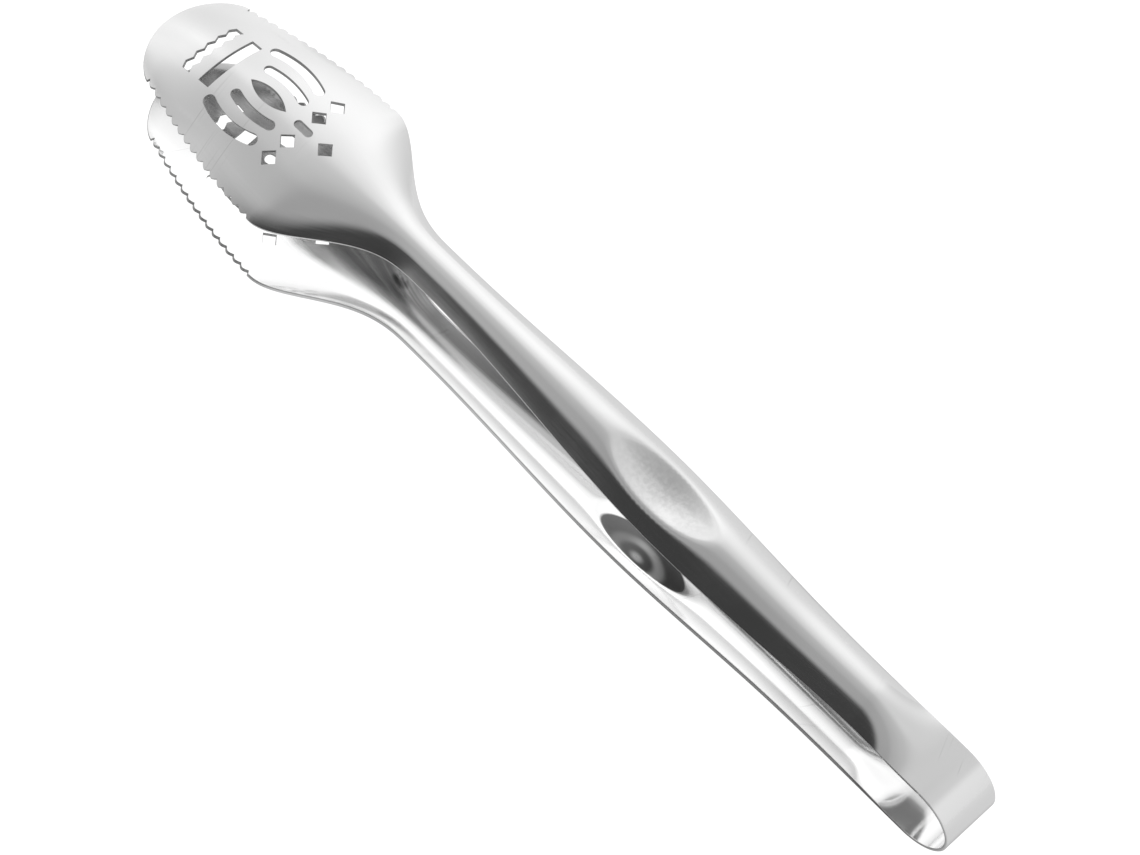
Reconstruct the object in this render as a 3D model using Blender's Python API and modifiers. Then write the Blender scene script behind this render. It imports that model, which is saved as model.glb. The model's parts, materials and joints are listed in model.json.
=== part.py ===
"""Serving tongs pressed from one strip of sheet steel, divided where the strip changes its job.

Each arm is a perforated, serrated scoop, a channel handle with a thumb dimple and a flat leaf.
The bow joins the two leaves and is the spring. Everything is modelled in the tongs' own frame:
X runs from the back of the bow to the tip of the heads, Y across, and Z = 0 lies midway between
the arms. A parent empty then lays the tongs on the lower arm, as they rest on a table.
"""

import math

import bmesh
import bpy
from mathutils import Vector

# Sheet and the gap left where one piece meets the next
SHEET = 0.0010
SEAM_GAP = 0.0003

# Lengths of the zones, one after the other from the back of the bow to the tip
BOW_RADIUS = 0.0123
LEAF_LENGTH = 0.0040
HANDLE_LENGTH = 0.1797
HEAD_LENGTH = 0.1040

# Widths across the strip
BOW_WIDTH = 0.0174
HANDLE_WIDTH = 0.0223
NECK_WIDTH = 0.0143
SHOULDER_WIDTH = 0.0522
FRONT_WIDTH = 0.0358

# Height of the sheet's rim over the middle plane
DIP_RIM = 0.01135
NECK_RIM = 0.01725
HEAD_RIM = 0.0147

# How far the middle of the sheet stands over its rims: at the handle's heel, next to the leaf, and on
HEEL_ARCH = 0.0047
HANDLE_ARCH = 0.0058
NECK_ARCH = 0.0040
HEAD_DOME = 0.0080

# Thumb dimple, pressed in from outside
DIMPLE_LENGTH = 0.0366
DIMPLE_WIDTH = 0.0130
DIMPLE_DEPTH = 0.0032

# Rounded front and serrated sides of the head
FRONT_ROUND = 0.0116
TOOTH_COUNT = 15
TOOTH_PITCH = 0.00323
TOOTH_DEPTH = 0.0009
TOOTH_TO_CORNER = 0.0018

# Drain holes, with the webs of sheet left between them
WAVY_SLOT_FROM_TIP = 0.0171
WAVY_SLOT_LENGTH = 0.0188
WAVY_SLOT_WIDTH = 0.0027
WAVE_DEPTH = 0.0009
WAVE_COUNT = 5
FRONT_WEB = 0.00385
PLAIN_SLOT_LENGTH = 0.0188
PLAIN_SLOT_WIDTH = 0.0037
LENS_WEB = 0.00675
LENS_LENGTH = 0.0136
LENS_WIDTH = 0.0045
INNER_WEB = 0.0031
INNER_SLOT_LENGTH = 0.0165
INNER_SLOT_WIDTH = 0.0029
INNER_SLOT_BEHIND = 0.0004
OUTER_WEB = 0.0034
OUTER_SLOT_LENGTH = 0.0206
OUTER_SLOT_WIDTH = 0.0033
OUTER_SLOT_AHEAD = 0.0018
SLOT_RADIUS = 0.0232
PILL_WEB = 0.0039
PILL_LENGTH = 0.0062
PILL_WIDTH = 0.0024
NEAR_DIAMOND_WEB = 0.00175
FAR_DIAMOND_WEB = 0.0014
REAR_DIAMOND_WEB = 0.00295
DIAMOND_SIDE = 0.0036

# Stations inside a zone, as shares of that zone's length
swell_share = 0.0987
heel_share = 0.1150
dip_share = 0.2879
arched_share = 0.4208
widest_share = 0.5105
dimple_share = 0.5223
narrow_share = 0.9773
shoulder_share = 0.405
dome_full_share = 0.43
dome_falls_share = 0.60
rim_settles_share = 0.41

# Exponents of the curves: unlike lengths, they don't scale
SHOULDER_POWER = 1.35
TAPER_POWER = 1.75
FRONT_POWER = 0.7
SIDE_POWER = 2.0
BEND_POWER = 3.0
BLEND_POWER = 4.0

# Rows of points crowd towards the edges by this share of a sine's spacing
row_crowding_share = 0.45

# Fineness of the surfaces: an odd number of rows keeps every row off the middle line
ROWS = 13
LEAF_COLUMNS = 2
HANDLE_COLUMNS = 32
DIMPLE_COLUMNS = 12
SHOULDER_COLUMNS = 12
CORNER_COLUMNS = 2
ARC_STEPS = 8
CAP_STEPS = 3
BOW_STEPS = 24
CREST_SAMPLES = 120

# Points closer together than these are one: in a cutter, and round a cut
PUNCH_WELD = 0.000001
CUT_WELD = 0.00006

# Balance point of the tongs as a share of the overall length
balance_share = 0.55

STEEL = {"color": (0.72, 0.72, 0.73, 1.0), "roughness": 0.22, "metallic": 1.0}
COLLECTION = "kitchen_tongs"

LEAF_START = BOW_RADIUS
HANDLE_START = LEAF_START + LEAF_LENGTH
HEAD_START = HANDLE_START + HANDLE_LENGTH
TIP = HEAD_START + HEAD_LENGTH
FRONT_CORNER = TIP - FRONT_ROUND
LAST_TOOTH = FRONT_CORNER - TOOTH_TO_CORNER
FIRST_TOOTH = LAST_TOOTH - (TOOTH_COUNT - 1) * TOOTH_PITCH
TOOTH_START = FIRST_TOOTH - TOOTH_PITCH / 2.0

# Middles of the drain holes: along the tongs, and out from the middle line
DIAMOND_REACH = DIAMOND_SIDE / math.sqrt(2.0)
WAVY_SLOT_X = TIP - WAVY_SLOT_FROM_TIP
PLAIN_SLOT_X = WAVY_SLOT_X - (WAVY_SLOT_WIDTH + WAVE_DEPTH + PLAIN_SLOT_WIDTH) / 2.0 - FRONT_WEB
LENS_X = PLAIN_SLOT_X - (PLAIN_SLOT_WIDTH + LENS_LENGTH) / 2.0 - LENS_WEB
PILL_X = LENS_X - (LENS_LENGTH + PILL_LENGTH) / 2.0 - PILL_WEB
REAR_DIAMOND_X = PILL_X - PILL_LENGTH / 2.0 - REAR_DIAMOND_WEB - DIAMOND_REACH
INNER_SLOT_X = LENS_X - INNER_SLOT_BEHIND
OUTER_SLOT_X = LENS_X + OUTER_SLOT_AHEAD
INNER_SLOT_Y = (LENS_WIDTH + INNER_SLOT_WIDTH) / 2.0 + INNER_WEB
OUTER_SLOT_Y = INNER_SLOT_Y + (INNER_SLOT_WIDTH + OUTER_SLOT_WIDTH) / 2.0 + OUTER_WEB
NEAR_DIAMOND_Y = PILL_WIDTH / 2.0 + NEAR_DIAMOND_WEB + DIAMOND_REACH
FAR_DIAMOND_Y = NEAR_DIAMOND_Y + 2.0 * DIAMOND_REACH + FAR_DIAMOND_WEB


def clamp(value):
    """Value held between 0 and 1."""
    return min(max(value, 0.0), 1.0)


def smooth(value):
    """S-curve from 0 to 1 with level ends."""
    t = clamp(value)
    return t * t * (3.0 - 2.0 * t)


def ease(x, x0, x1, a, b, power=1.0):
    """Size that goes smoothly from a at x0 to b at x1."""
    t = clamp((x - x0) / (x1 - x0))
    return a + (b - a) * smooth(t ** power)


def handle_at(share):
    """Place along the handle, as a distance from the back of the bow."""
    return HANDLE_START + share * HANDLE_LENGTH


def head_at(share):
    """Place along the head, as a distance from the back of the bow."""
    return HEAD_START + share * HEAD_LENGTH


def half_width(x):
    """Half the width of the strip at x."""
    if x <= handle_at(widest_share):
        return ease(x, handle_at(swell_share), handle_at(widest_share), BOW_WIDTH, HANDLE_WIDTH) / 2.0
    if x <= HEAD_START:
        return ease(x, handle_at(widest_share), handle_at(narrow_share), HANDLE_WIDTH, NECK_WIDTH) / 2.0
    shoulder = head_at(shoulder_share)
    if x <= shoulder:
        return ease(x, HEAD_START, shoulder, NECK_WIDTH, SHOULDER_WIDTH, SHOULDER_POWER) / 2.0
    t = (x - shoulder) / (FRONT_CORNER - shoulder)
    return (SHOULDER_WIDTH - (SHOULDER_WIDTH - FRONT_WIDTH) * t ** TAPER_POWER) / 2.0


def rim_height(x):
    """Height of the outer rim over the middle plane at x."""
    if x <= handle_at(dip_share):
        return ease(x, handle_at(swell_share), handle_at(dip_share), BOW_RADIUS, DIP_RIM)
    if x <= HEAD_START:
        return ease(x, handle_at(dip_share), handle_at(narrow_share), DIP_RIM, NECK_RIM)
    return ease(x, HEAD_START, head_at(rim_settles_share), NECK_RIM, HEAD_RIM)


def arch_height(x):
    """Height of the middle of the sheet over its rims at x."""
    if x <= handle_at(heel_share):
        return ease(x, HANDLE_START, handle_at(heel_share), 0.0, HEEL_ARCH)
    if x <= handle_at(widest_share):
        return ease(x, handle_at(heel_share), handle_at(arched_share), HEEL_ARCH, HANDLE_ARCH)
    if x <= HEAD_START:
        return ease(x, handle_at(widest_share), handle_at(narrow_share), HANDLE_ARCH, NECK_ARCH)
    if x <= head_at(dome_falls_share):
        return ease(x, HEAD_START, head_at(dome_full_share), NECK_ARCH, HEAD_DOME)
    t = clamp((x - head_at(dome_falls_share)) / (TIP - head_at(dome_falls_share)))
    return HEAD_DOME * (1.0 - t * t)


def dimple_depth(x, y):
    """Depth of the thumb dimple under the arch at x, y."""
    u = (x - handle_at(dimple_share)) / (DIMPLE_LENGTH / 2.0)
    v = y / (DIMPLE_WIDTH / 2.0)
    return DIMPLE_DEPTH * max(0.0, 1.0 - u * u - v * v)


def across(row):
    """Share of the half width at which a row of points lies, from -1 to 1."""
    t = 2.0 * row / ROWS - 1.0
    return t + row_crowding_share * (math.sin(math.pi / 2.0 * t) - t)


def front_share(edge_x):
    """How far a column lies on from the first tooth's root, at 0, to the rounded front, at 1."""
    return clamp((edge_x - TOOTH_START) / (FRONT_CORNER - TOOTH_START))


def sheet_point(edge_x, inset, row):
    """Point of the outer face.

    A column of points crosses the sheet from edge to edge and meets both edges at edge_x. Towards
    the front its middle runs ahead, so that the last column is the rounded front. inset draws the
    edges in for a tooth's root.
    """
    v = across(row)
    bulge = max(0.0, 1.0 - v * v)
    front = front_share(edge_x)
    middle_x = edge_x + FRONT_ROUND * front ** BEND_POWER
    blend = front ** BLEND_POWER
    x = edge_x + (middle_x - edge_x) * ((1.0 - blend) * bulge ** SIDE_POWER + blend * bulge ** FRONT_POWER)
    y = v * half_width(edge_x)
    z = rim_height(x) + arch_height(middle_x) * bulge - dimple_depth(x, y)
    if row in (0, ROWS):
        y -= math.copysign(inset, y)
    return Vector((x, y, z))


def new_material(name):
    """Bright pressed stainless steel."""
    material = bpy.data.materials.new(name)
    material.use_nodes = True
    shader = material.node_tree.nodes["Principled BSDF"]
    shader.inputs["Base Color"].default_value = STEEL["color"]
    shader.inputs["Roughness"].default_value = STEEL["roughness"]
    shader.inputs["Metallic"].default_value = STEEL["metallic"]
    return material


def grid_mesh(name, columns, rows, place):
    """Open sheet of columns by rows cells, whose point (i, j) lies at place(i, j)."""
    bm = bmesh.new()
    bmesh.ops.create_grid(bm, x_segments=columns, y_segments=rows, size=1.0)
    for vert in bm.verts:
        i = round((vert.co.x + 1.0) / 2.0 * columns)
        j = round((vert.co.y + 1.0) / 2.0 * rows)
        vert.co = place(i, j)
    mesh = bpy.data.meshes.new(name)
    bm.to_mesh(mesh)
    bm.free()
    mesh.shade_smooth()
    return mesh


def arm_mesh(name, columns):
    """Open outer face of one arm piece from its columns of (edge x, tooth inset)."""

    def place(i, j):
        return sheet_point(*columns[i], j)

    return grid_mesh(name, len(columns) - 1, ROWS, place)


def straight_columns(start, end, count):
    """Evenly spaced columns square to the length."""
    return [(start + (end - start) * k / count, 0.0) for k in range(count + 1)]


def handle_columns():
    """Columns of the handle, closer together over the dimple."""
    start = HANDLE_START + SEAM_GAP / 2.0
    end = HEAD_START - SEAM_GAP / 2.0
    dimple_start = handle_at(dimple_share) - DIMPLE_LENGTH / 2.0
    dimple_end = dimple_start + DIMPLE_LENGTH
    around = HANDLE_COLUMNS - DIMPLE_COLUMNS
    before = max(2, round(around * (dimple_start - start) / (end - start - DIMPLE_LENGTH)))
    columns = straight_columns(start, dimple_start, before)[:-1]
    columns += straight_columns(dimple_start, dimple_end, DIMPLE_COLUMNS)[:-1]
    columns += straight_columns(dimple_end, end, max(2, around - before))
    return columns


def head_columns():
    """Columns of the head: the shoulder, then a tooth's tip and root in turn, then the front."""
    columns = straight_columns(HEAD_START + SEAM_GAP / 2.0, TOOTH_START, SHOULDER_COLUMNS)[:-1]
    columns.append((TOOTH_START, TOOTH_DEPTH))
    for k in range(TOOTH_COUNT):
        columns.append((FIRST_TOOTH + k * TOOTH_PITCH, 0.0))
        if k < TOOTH_COUNT - 1:
            columns.append((FIRST_TOOTH + (k + 0.5) * TOOTH_PITCH, TOOTH_DEPTH))
    return columns + straight_columns(LAST_TOOTH, FRONT_CORNER, CORNER_COLUMNS)[1:]


def arc_slot(x, y, length, width):
    """Outline of a slot bent round the lens, whose middle lies at x, y."""
    center = Vector((x, y - SLOT_RADIUS))
    reach = (length - width) / 2.0 / SLOT_RADIUS
    angles = [reach * (1.0 - 2.0 * k / ARC_STEPS) for k in range(ARC_STEPS + 1)]
    points = [(SLOT_RADIUS + width / 2.0, a) for a in angles]
    outline = [center + Vector((r * math.sin(a), r * math.cos(a))) for r, a in points]
    outline += round_end(center, -reach, width, -1.0)
    points = [(SLOT_RADIUS - width / 2.0, -a) for a in angles]
    outline += [center + Vector((r * math.sin(a), r * math.cos(a))) for r, a in points]
    outline += round_end(center, reach, width, 1.0)
    return outline


def round_end(center, angle, width, side):
    """Points of an arc slot's half-round end, without the two that its long edges hold."""
    along = Vector((math.cos(angle), -math.sin(angle))) * side
    out = Vector((math.sin(angle), math.cos(angle))) * -side
    middle = center + Vector((math.sin(angle), math.cos(angle))) * SLOT_RADIUS
    turns = [math.pi * k / (CAP_STEPS + 1) for k in range(1, CAP_STEPS + 1)]
    return [middle + (along * math.sin(t) + out * math.cos(t)) * (width / 2.0) for t in turns]


def mirrored(outline):
    """The same outline on the other side of the middle line."""
    return [Vector((p.x, -p.y)) for p in reversed(outline)]


def lens():
    """Outline of the pointed hole in the middle of the pattern."""
    half = LENS_LENGTH / 2.0
    bulge = LENS_WIDTH / 2.0
    radius = (half * half + bulge * bulge) / (2.0 * bulge)
    reach = math.asin(half / radius)
    side = []
    for k in range(ARC_STEPS):
        a = reach * (1.0 - 2.0 * k / ARC_STEPS)
        side.append(Vector((LENS_X + radius * math.sin(a), radius * math.cos(a) - radius + bulge)))
    return side + [Vector((2.0 * LENS_X - p.x, -p.y)) for p in side]


def pill():
    """Outline of the short round-ended hole behind the lens."""
    radius = PILL_WIDTH / 2.0
    reach = PILL_LENGTH / 2.0 - radius
    outline = []
    for side in (1.0, -1.0):
        for k in range(CAP_STEPS + 2):
            a = math.pi * (k / (CAP_STEPS + 1) - 0.5)
            x = side * (reach + radius * math.cos(a))
            outline.append(Vector((PILL_X + x, side * radius * math.sin(a))))
    return outline


def diamond(x, y):
    """Outline of a square hole that stands on its corner."""
    corners = ((1.0, 0.0), (0.0, 1.0), (-1.0, 0.0), (0.0, -1.0))
    return [Vector((x + u * DIAMOND_REACH, y + v * DIAMOND_REACH)) for u, v in corners]


def cross_slot(x, length, width, wave, waves):
    """Outline of a slot across the head, whose long edges zigzag side by side if it has waves."""
    count = max(1, 2 * waves)
    front = []
    back = []
    for k in range(count + 1):
        y = length * (k / count - 0.5)
        shift = wave / 2.0 * (1.0 if k % 2 else -1.0)
        front.append(Vector((x + width / 2.0 + shift, y)))
        back.append(Vector((x - width / 2.0 + shift, y)))
    return front + back[::-1]


def hole_outlines():
    """Every drain hole of a head, seen from outside."""
    inner = arc_slot(INNER_SLOT_X, INNER_SLOT_Y, INNER_SLOT_LENGTH, INNER_SLOT_WIDTH)
    outer = arc_slot(OUTER_SLOT_X, OUTER_SLOT_Y, OUTER_SLOT_LENGTH, OUTER_SLOT_WIDTH)
    outlines = [inner, mirrored(inner), outer, mirrored(outer), lens(), pill()]
    outlines.append(cross_slot(WAVY_SLOT_X, WAVY_SLOT_LENGTH, WAVY_SLOT_WIDTH, WAVE_DEPTH, WAVE_COUNT))
    outlines.append(cross_slot(PLAIN_SLOT_X, PLAIN_SLOT_LENGTH, PLAIN_SLOT_WIDTH, 0.0, 0))
    for y in (NEAR_DIAMOND_Y, FAR_DIAMOND_Y):
        outlines.append(diamond(PILL_X, y))
        outlines.append(diamond(PILL_X, -y))
    outlines.append(diamond(REAR_DIAMOND_X, 0.0))
    return outlines


def punch(name, outlines, collection):
    """Cutter with one upright prism for each outline, through the whole height of a dome."""
    curve = bpy.data.curves.new(name, "CURVE")
    curve.dimensions = "2D"
    curve.fill_mode = "BOTH"
    curve.extrude = HEAD_RIM + HEAD_DOME
    for outline in outlines:
        spline = curve.splines.new("POLY")
        spline.points.add(len(outline) - 1)
        for point, place in zip(spline.points, outline):
            point.co = (place.x, place.y, 0.0, 1.0)
        spline.use_cyclic_u = True
    guide = bpy.data.objects.new(name + "_outline", curve)
    collection.objects.link(guide)
    graph = bpy.context.evaluated_depsgraph_get()
    mesh = bpy.data.meshes.new_from_object(guide.evaluated_get(graph))
    bpy.data.objects.remove(guide)
    bm = bmesh.new()
    bm.from_mesh(mesh)
    bmesh.ops.remove_doubles(bm, verts=bm.verts, dist=PUNCH_WELD)
    bmesh.ops.recalc_face_normals(bm, faces=bm.faces)
    bmesh.ops.translate(bm, verts=bm.verts, vec=(0.0, 0.0, HEAD_RIM + HEAD_DOME / 2.0))
    bm.to_mesh(mesh)
    bm.free()
    cutter = bpy.data.objects.new(name, mesh)
    cutter.hide_render = True
    cutter.display_type = "WIRE"
    collection.objects.link(cutter)
    return cutter


def bow_mesh(name):
    """Open outer face of the bow, a half turn from the lower leaf round to the upper one."""
    flat = SEAM_GAP / 2.0

    def place(i, j):
        angle = math.pi * (i / BOW_STEPS - 0.5)
        x = BOW_RADIUS - flat - (BOW_RADIUS - flat) * math.cos(angle)
        y = BOW_WIDTH * (0.5 - j)
        return Vector((x, y, BOW_RADIUS * math.sin(angle)))

    return grid_mesh(name, BOW_STEPS, 1, place)


def add_sheet(name, mesh, parent, collection, turned=False):
    """Named piece of sheet steel from its outer face, hung from an empty."""
    piece = bpy.data.objects.new(name, mesh)
    collection.objects.link(piece)
    piece.parent = parent
    piece.location = -parent_place(parent)
    if turned:
        piece.rotation_euler.x = math.pi
    wall = piece.modifiers.new("sheet", "SOLIDIFY")
    wall.thickness = SHEET
    wall.offset = -1.0
    piece.data.materials.clear()
    piece.data.materials.append(new_material(name + "_steel"))
    return piece


def parent_place(empty):
    """Place of an empty in the tongs' own frame."""
    place = Vector((0.0, 0.0, 0.0))
    while empty.parent is not None:
        place += empty.location
        empty = empty.parent
    return place


def add_empty(name, location, parent, collection):
    """Empty that carries pieces, on a joint's axis or at the tongs' own origin."""
    empty = bpy.data.objects.new(name, None)
    empty.location = location
    empty.parent = parent
    collection.objects.link(empty)
    return empty


def perforate(piece, cutter):
    """Cut the drain holes through a head."""
    cut = piece.modifiers.new("drain_holes", "BOOLEAN")
    cut.operation = "DIFFERENCE"
    cut.solver = "EXACT"
    cut.object = cutter
    tidy = piece.modifiers.new("cut_edges", "WELD")
    tidy.merge_threshold = CUT_WELD


def lying_pitch():
    """Angle by which the tongs' axis rises towards the heads when the lower arm lies on a table.

    The table touches the outermost line of the lower arm on both sides of the balance point.
    """
    crest = []
    for k in range(CREST_SAMPLES + 1):
        x = LEAF_START + (TIP - LEAF_START) * k / CREST_SAMPLES
        crest.append((x, rim_height(x) + arch_height(x) - dimple_depth(x, 0.0)))
    hull = []
    for point in crest:
        while len(hull) > 1 and turns_out(hull[-2], hull[-1], point):
            hull.pop()
        hull.append(point)
    for near, far in zip(hull, hull[1:]):
        if far[0] >= balance_share * TIP:
            return math.atan2(far[1] - near[1], far[0] - near[0])
    return 0.0


def turns_out(a, b, c):
    """True if b lies on or inside the line from a to c."""
    return (b[0] - a[0]) * (c[1] - a[1]) - (b[1] - a[1]) * (c[0] - a[0]) >= 0.0


def lay_down(frame, pieces):
    """Turn the tongs on to the lower arm, with the lowest point at Z = 0 and the middle at X = 0."""
    frame.rotation_euler.y = -lying_pitch()
    bpy.context.view_layer.update()
    graph = bpy.context.evaluated_depsgraph_get()
    xs = []
    zs = []
    for piece in pieces:
        shape = piece.evaluated_get(graph)
        for vert in shape.data.vertices:
            place = shape.matrix_world @ vert.co
            xs.append(place.x)
            zs.append(place.z)
    frame.location = (-(min(xs) + max(xs)) / 2.0, 0.0, -min(zs))
    bpy.context.view_layer.update()


def main():
    """Build the tongs."""
    for old in list(bpy.data.objects):
        bpy.data.objects.remove(old)
    tongs = bpy.data.collections.new(COLLECTION)
    cutters = bpy.data.collections.new("cutters")
    bpy.context.scene.collection.children.link(tongs)
    bpy.context.scene.collection.children.link(cutters)

    hinge_x = LEAF_START
    hinge_z = BOW_RADIUS - SHEET / 2.0
    frame = add_empty("tongs_axis", Vector((0.0, 0.0, 0.0)), None, tongs)
    bow_hinge = add_empty("bow_hinge", Vector((hinge_x, 0.0, -hinge_z)), frame, tongs)
    arm_hinge = add_empty("arm_hinge", Vector((0.0, 0.0, 2.0 * hinge_z)), bow_hinge, tongs)

    leaf_end = HANDLE_START - SEAM_GAP / 2.0
    leaf_columns = straight_columns(LEAF_START + SEAM_GAP / 2.0, leaf_end, LEAF_COLUMNS)
    columns = {"leaf": leaf_columns, "handle": handle_columns(), "head": head_columns()}
    pieces = [add_sheet("bow", bow_mesh("bow"), bow_hinge, tongs)]
    for side, parent in (("lower", frame), ("upper", arm_hinge)):
        for zone, zone_columns in columns.items():
            name = side + "_" + zone
            mesh = arm_mesh(name, zone_columns)
            pieces.append(add_sheet(name, mesh, parent, tongs, turned=side == "lower"))

    holes = hole_outlines()
    for piece in pieces:
        if piece.name == "upper_head":
            cutter = punch("upper_punch", holes, cutters)
        elif piece.name == "lower_head":
            cutter = punch("lower_punch", holes, cutters)
            cutter.rotation_euler.x = math.pi
        else:
            continue
        cutter.parent = piece.parent
        cutter.location = piece.location
        perforate(piece, cutter)
    lay_down(frame, pieces)


main()
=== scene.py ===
"""Kitchen tongs of bright pressed steel on a white table: looks, light and camera.

The tongs are one strip of sheet steel. Each arm is a flat blank, punched and toothed, that is then
pressed into its channel and scoop, and the bow is the strip swept round a half circle. All of it is
made in the tongs' own frame: X runs from the back of the bow to the tips, Y across the strip, and
Z = 0 lies midway between the arms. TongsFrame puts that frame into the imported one.

Lengths are in metres, and angles in radians unless a name says degrees. A span is a pair of values
between which something comes in or fades.
"""

import json
import logging
import math
from dataclasses import dataclass, field
from enum import Enum
from typing import Any, Iterable, Sequence

import bpy
import numpy as np
from mathutils import Matrix, Vector
from mathutils.geometry import delaunay_2d_cdt

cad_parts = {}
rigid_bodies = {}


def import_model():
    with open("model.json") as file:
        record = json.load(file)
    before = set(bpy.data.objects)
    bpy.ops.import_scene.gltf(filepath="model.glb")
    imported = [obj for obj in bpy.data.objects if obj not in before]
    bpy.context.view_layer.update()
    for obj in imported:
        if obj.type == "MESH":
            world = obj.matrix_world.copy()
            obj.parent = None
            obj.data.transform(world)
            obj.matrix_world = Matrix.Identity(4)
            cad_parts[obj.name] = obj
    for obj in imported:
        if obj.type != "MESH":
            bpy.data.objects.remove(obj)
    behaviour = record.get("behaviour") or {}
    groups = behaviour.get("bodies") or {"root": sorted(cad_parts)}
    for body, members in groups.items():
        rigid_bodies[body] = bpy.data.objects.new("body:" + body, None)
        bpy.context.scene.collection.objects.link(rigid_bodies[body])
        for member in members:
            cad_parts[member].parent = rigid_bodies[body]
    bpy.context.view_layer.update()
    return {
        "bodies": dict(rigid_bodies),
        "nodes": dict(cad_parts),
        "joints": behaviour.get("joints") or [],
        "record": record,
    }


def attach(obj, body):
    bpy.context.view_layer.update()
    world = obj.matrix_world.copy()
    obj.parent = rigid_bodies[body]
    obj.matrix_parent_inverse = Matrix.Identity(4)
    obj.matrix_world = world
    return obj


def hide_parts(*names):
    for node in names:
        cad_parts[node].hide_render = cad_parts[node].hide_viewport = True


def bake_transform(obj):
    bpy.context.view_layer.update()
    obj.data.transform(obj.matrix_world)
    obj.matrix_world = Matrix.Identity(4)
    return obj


LOG = logging.getLogger("tongs")
PLACE_ATTRIBUTE = "strip_place"
FINISH_ATTRIBUTE = "strip_finish"
PAINTED_SHADE_ATTRIBUTE = "strip_painted_shade"

Points = np.ndarray
Loop = np.ndarray
Span = tuple[float, float]
Colour = tuple[float, float, float, float]
Socket = bpy.types.NodeSocket


class Side(Enum):
    """Which arm a piece belongs to."""

    LOWER = "lower"
    UPPER = "upper"

    @property
    def sign(self) -> float:
        """One for the upper arm and minus one for the lower, which is the upper turned over."""
        return 1.0 if self is Side.UPPER else -1.0


def grey(level: float) -> Colour:
    """Grey of a brightness."""
    return (level, level, level, 1.0)


@dataclass(frozen=True)
class Step:
    """Smooth change of a size along the strip.

    Args:
        start: Place where the change starts.
        end: Place where it is complete.
        gain: What it adds to the size.
        power: Exponent that delays the change where it is over 1.
    """

    start: float
    end: float
    gain: float = 1.0
    power: float = 1.0

    def at(self, x: Points) -> Points:
        """What the step has added at x."""
        t = np.clip((x - self.start) / (self.end - self.start), 0.0, 1.0) ** self.power
        return self.gain * t * t * (3.0 - 2.0 * t)


@dataclass(frozen=True)
class TongsFrame:
    """Place of the tongs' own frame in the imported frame, read from the two hinges of the bow.

    Args:
        lower_hinge: Hinge at the lower end of the bow.
        upper_hinge: Hinge at the upper end of the bow.
        bow_reach: Distance from the back of the bow to its hinges.
    """

    lower_hinge: Vector
    upper_hinge: Vector
    bow_reach: float

    @classmethod
    def from_joints(cls, joints: Sequence[dict[str, Any]], bow_reach: float) -> "TongsFrame":
        """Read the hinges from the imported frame's joints.

        Args:
            joints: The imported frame's joints.
            bow_reach: Distance from the back of the bow to its hinges.

        Returns:
            The tongs' frame.
        """
        places = {joint["name"]: Vector(joint["pos_m"]) for joint in joints}
        return cls(places["bow_flex"], places["arm_close"], bow_reach)

    def matrix(self) -> Matrix:
        """Work out how the tongs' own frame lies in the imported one.

        Returns:
            Matrix from the tongs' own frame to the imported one.
        """
        up = (self.upper_hinge - self.lower_hinge).normalized()
        across = Vector((0.0, 1.0, 0.0))
        ahead = across.cross(up)
        origin = (self.lower_hinge + self.upper_hinge) / 2.0 - ahead * self.bow_reach
        turn = Matrix((ahead, across, up)).transposed().to_4x4()
        return Matrix.Translation(origin) @ turn

    def side_matrix(self, side: Side) -> Matrix:
        """Work out how a piece that was made as the upper arm's lies on either side.

        Args:
            side: Which arm it is.

        Returns:
            Matrix from the tongs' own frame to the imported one, turned over for the lower arm.
        """
        if side is Side.UPPER:
            return self.matrix()
        return self.matrix() @ Matrix.Rotation(math.pi, 4, "X")


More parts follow.
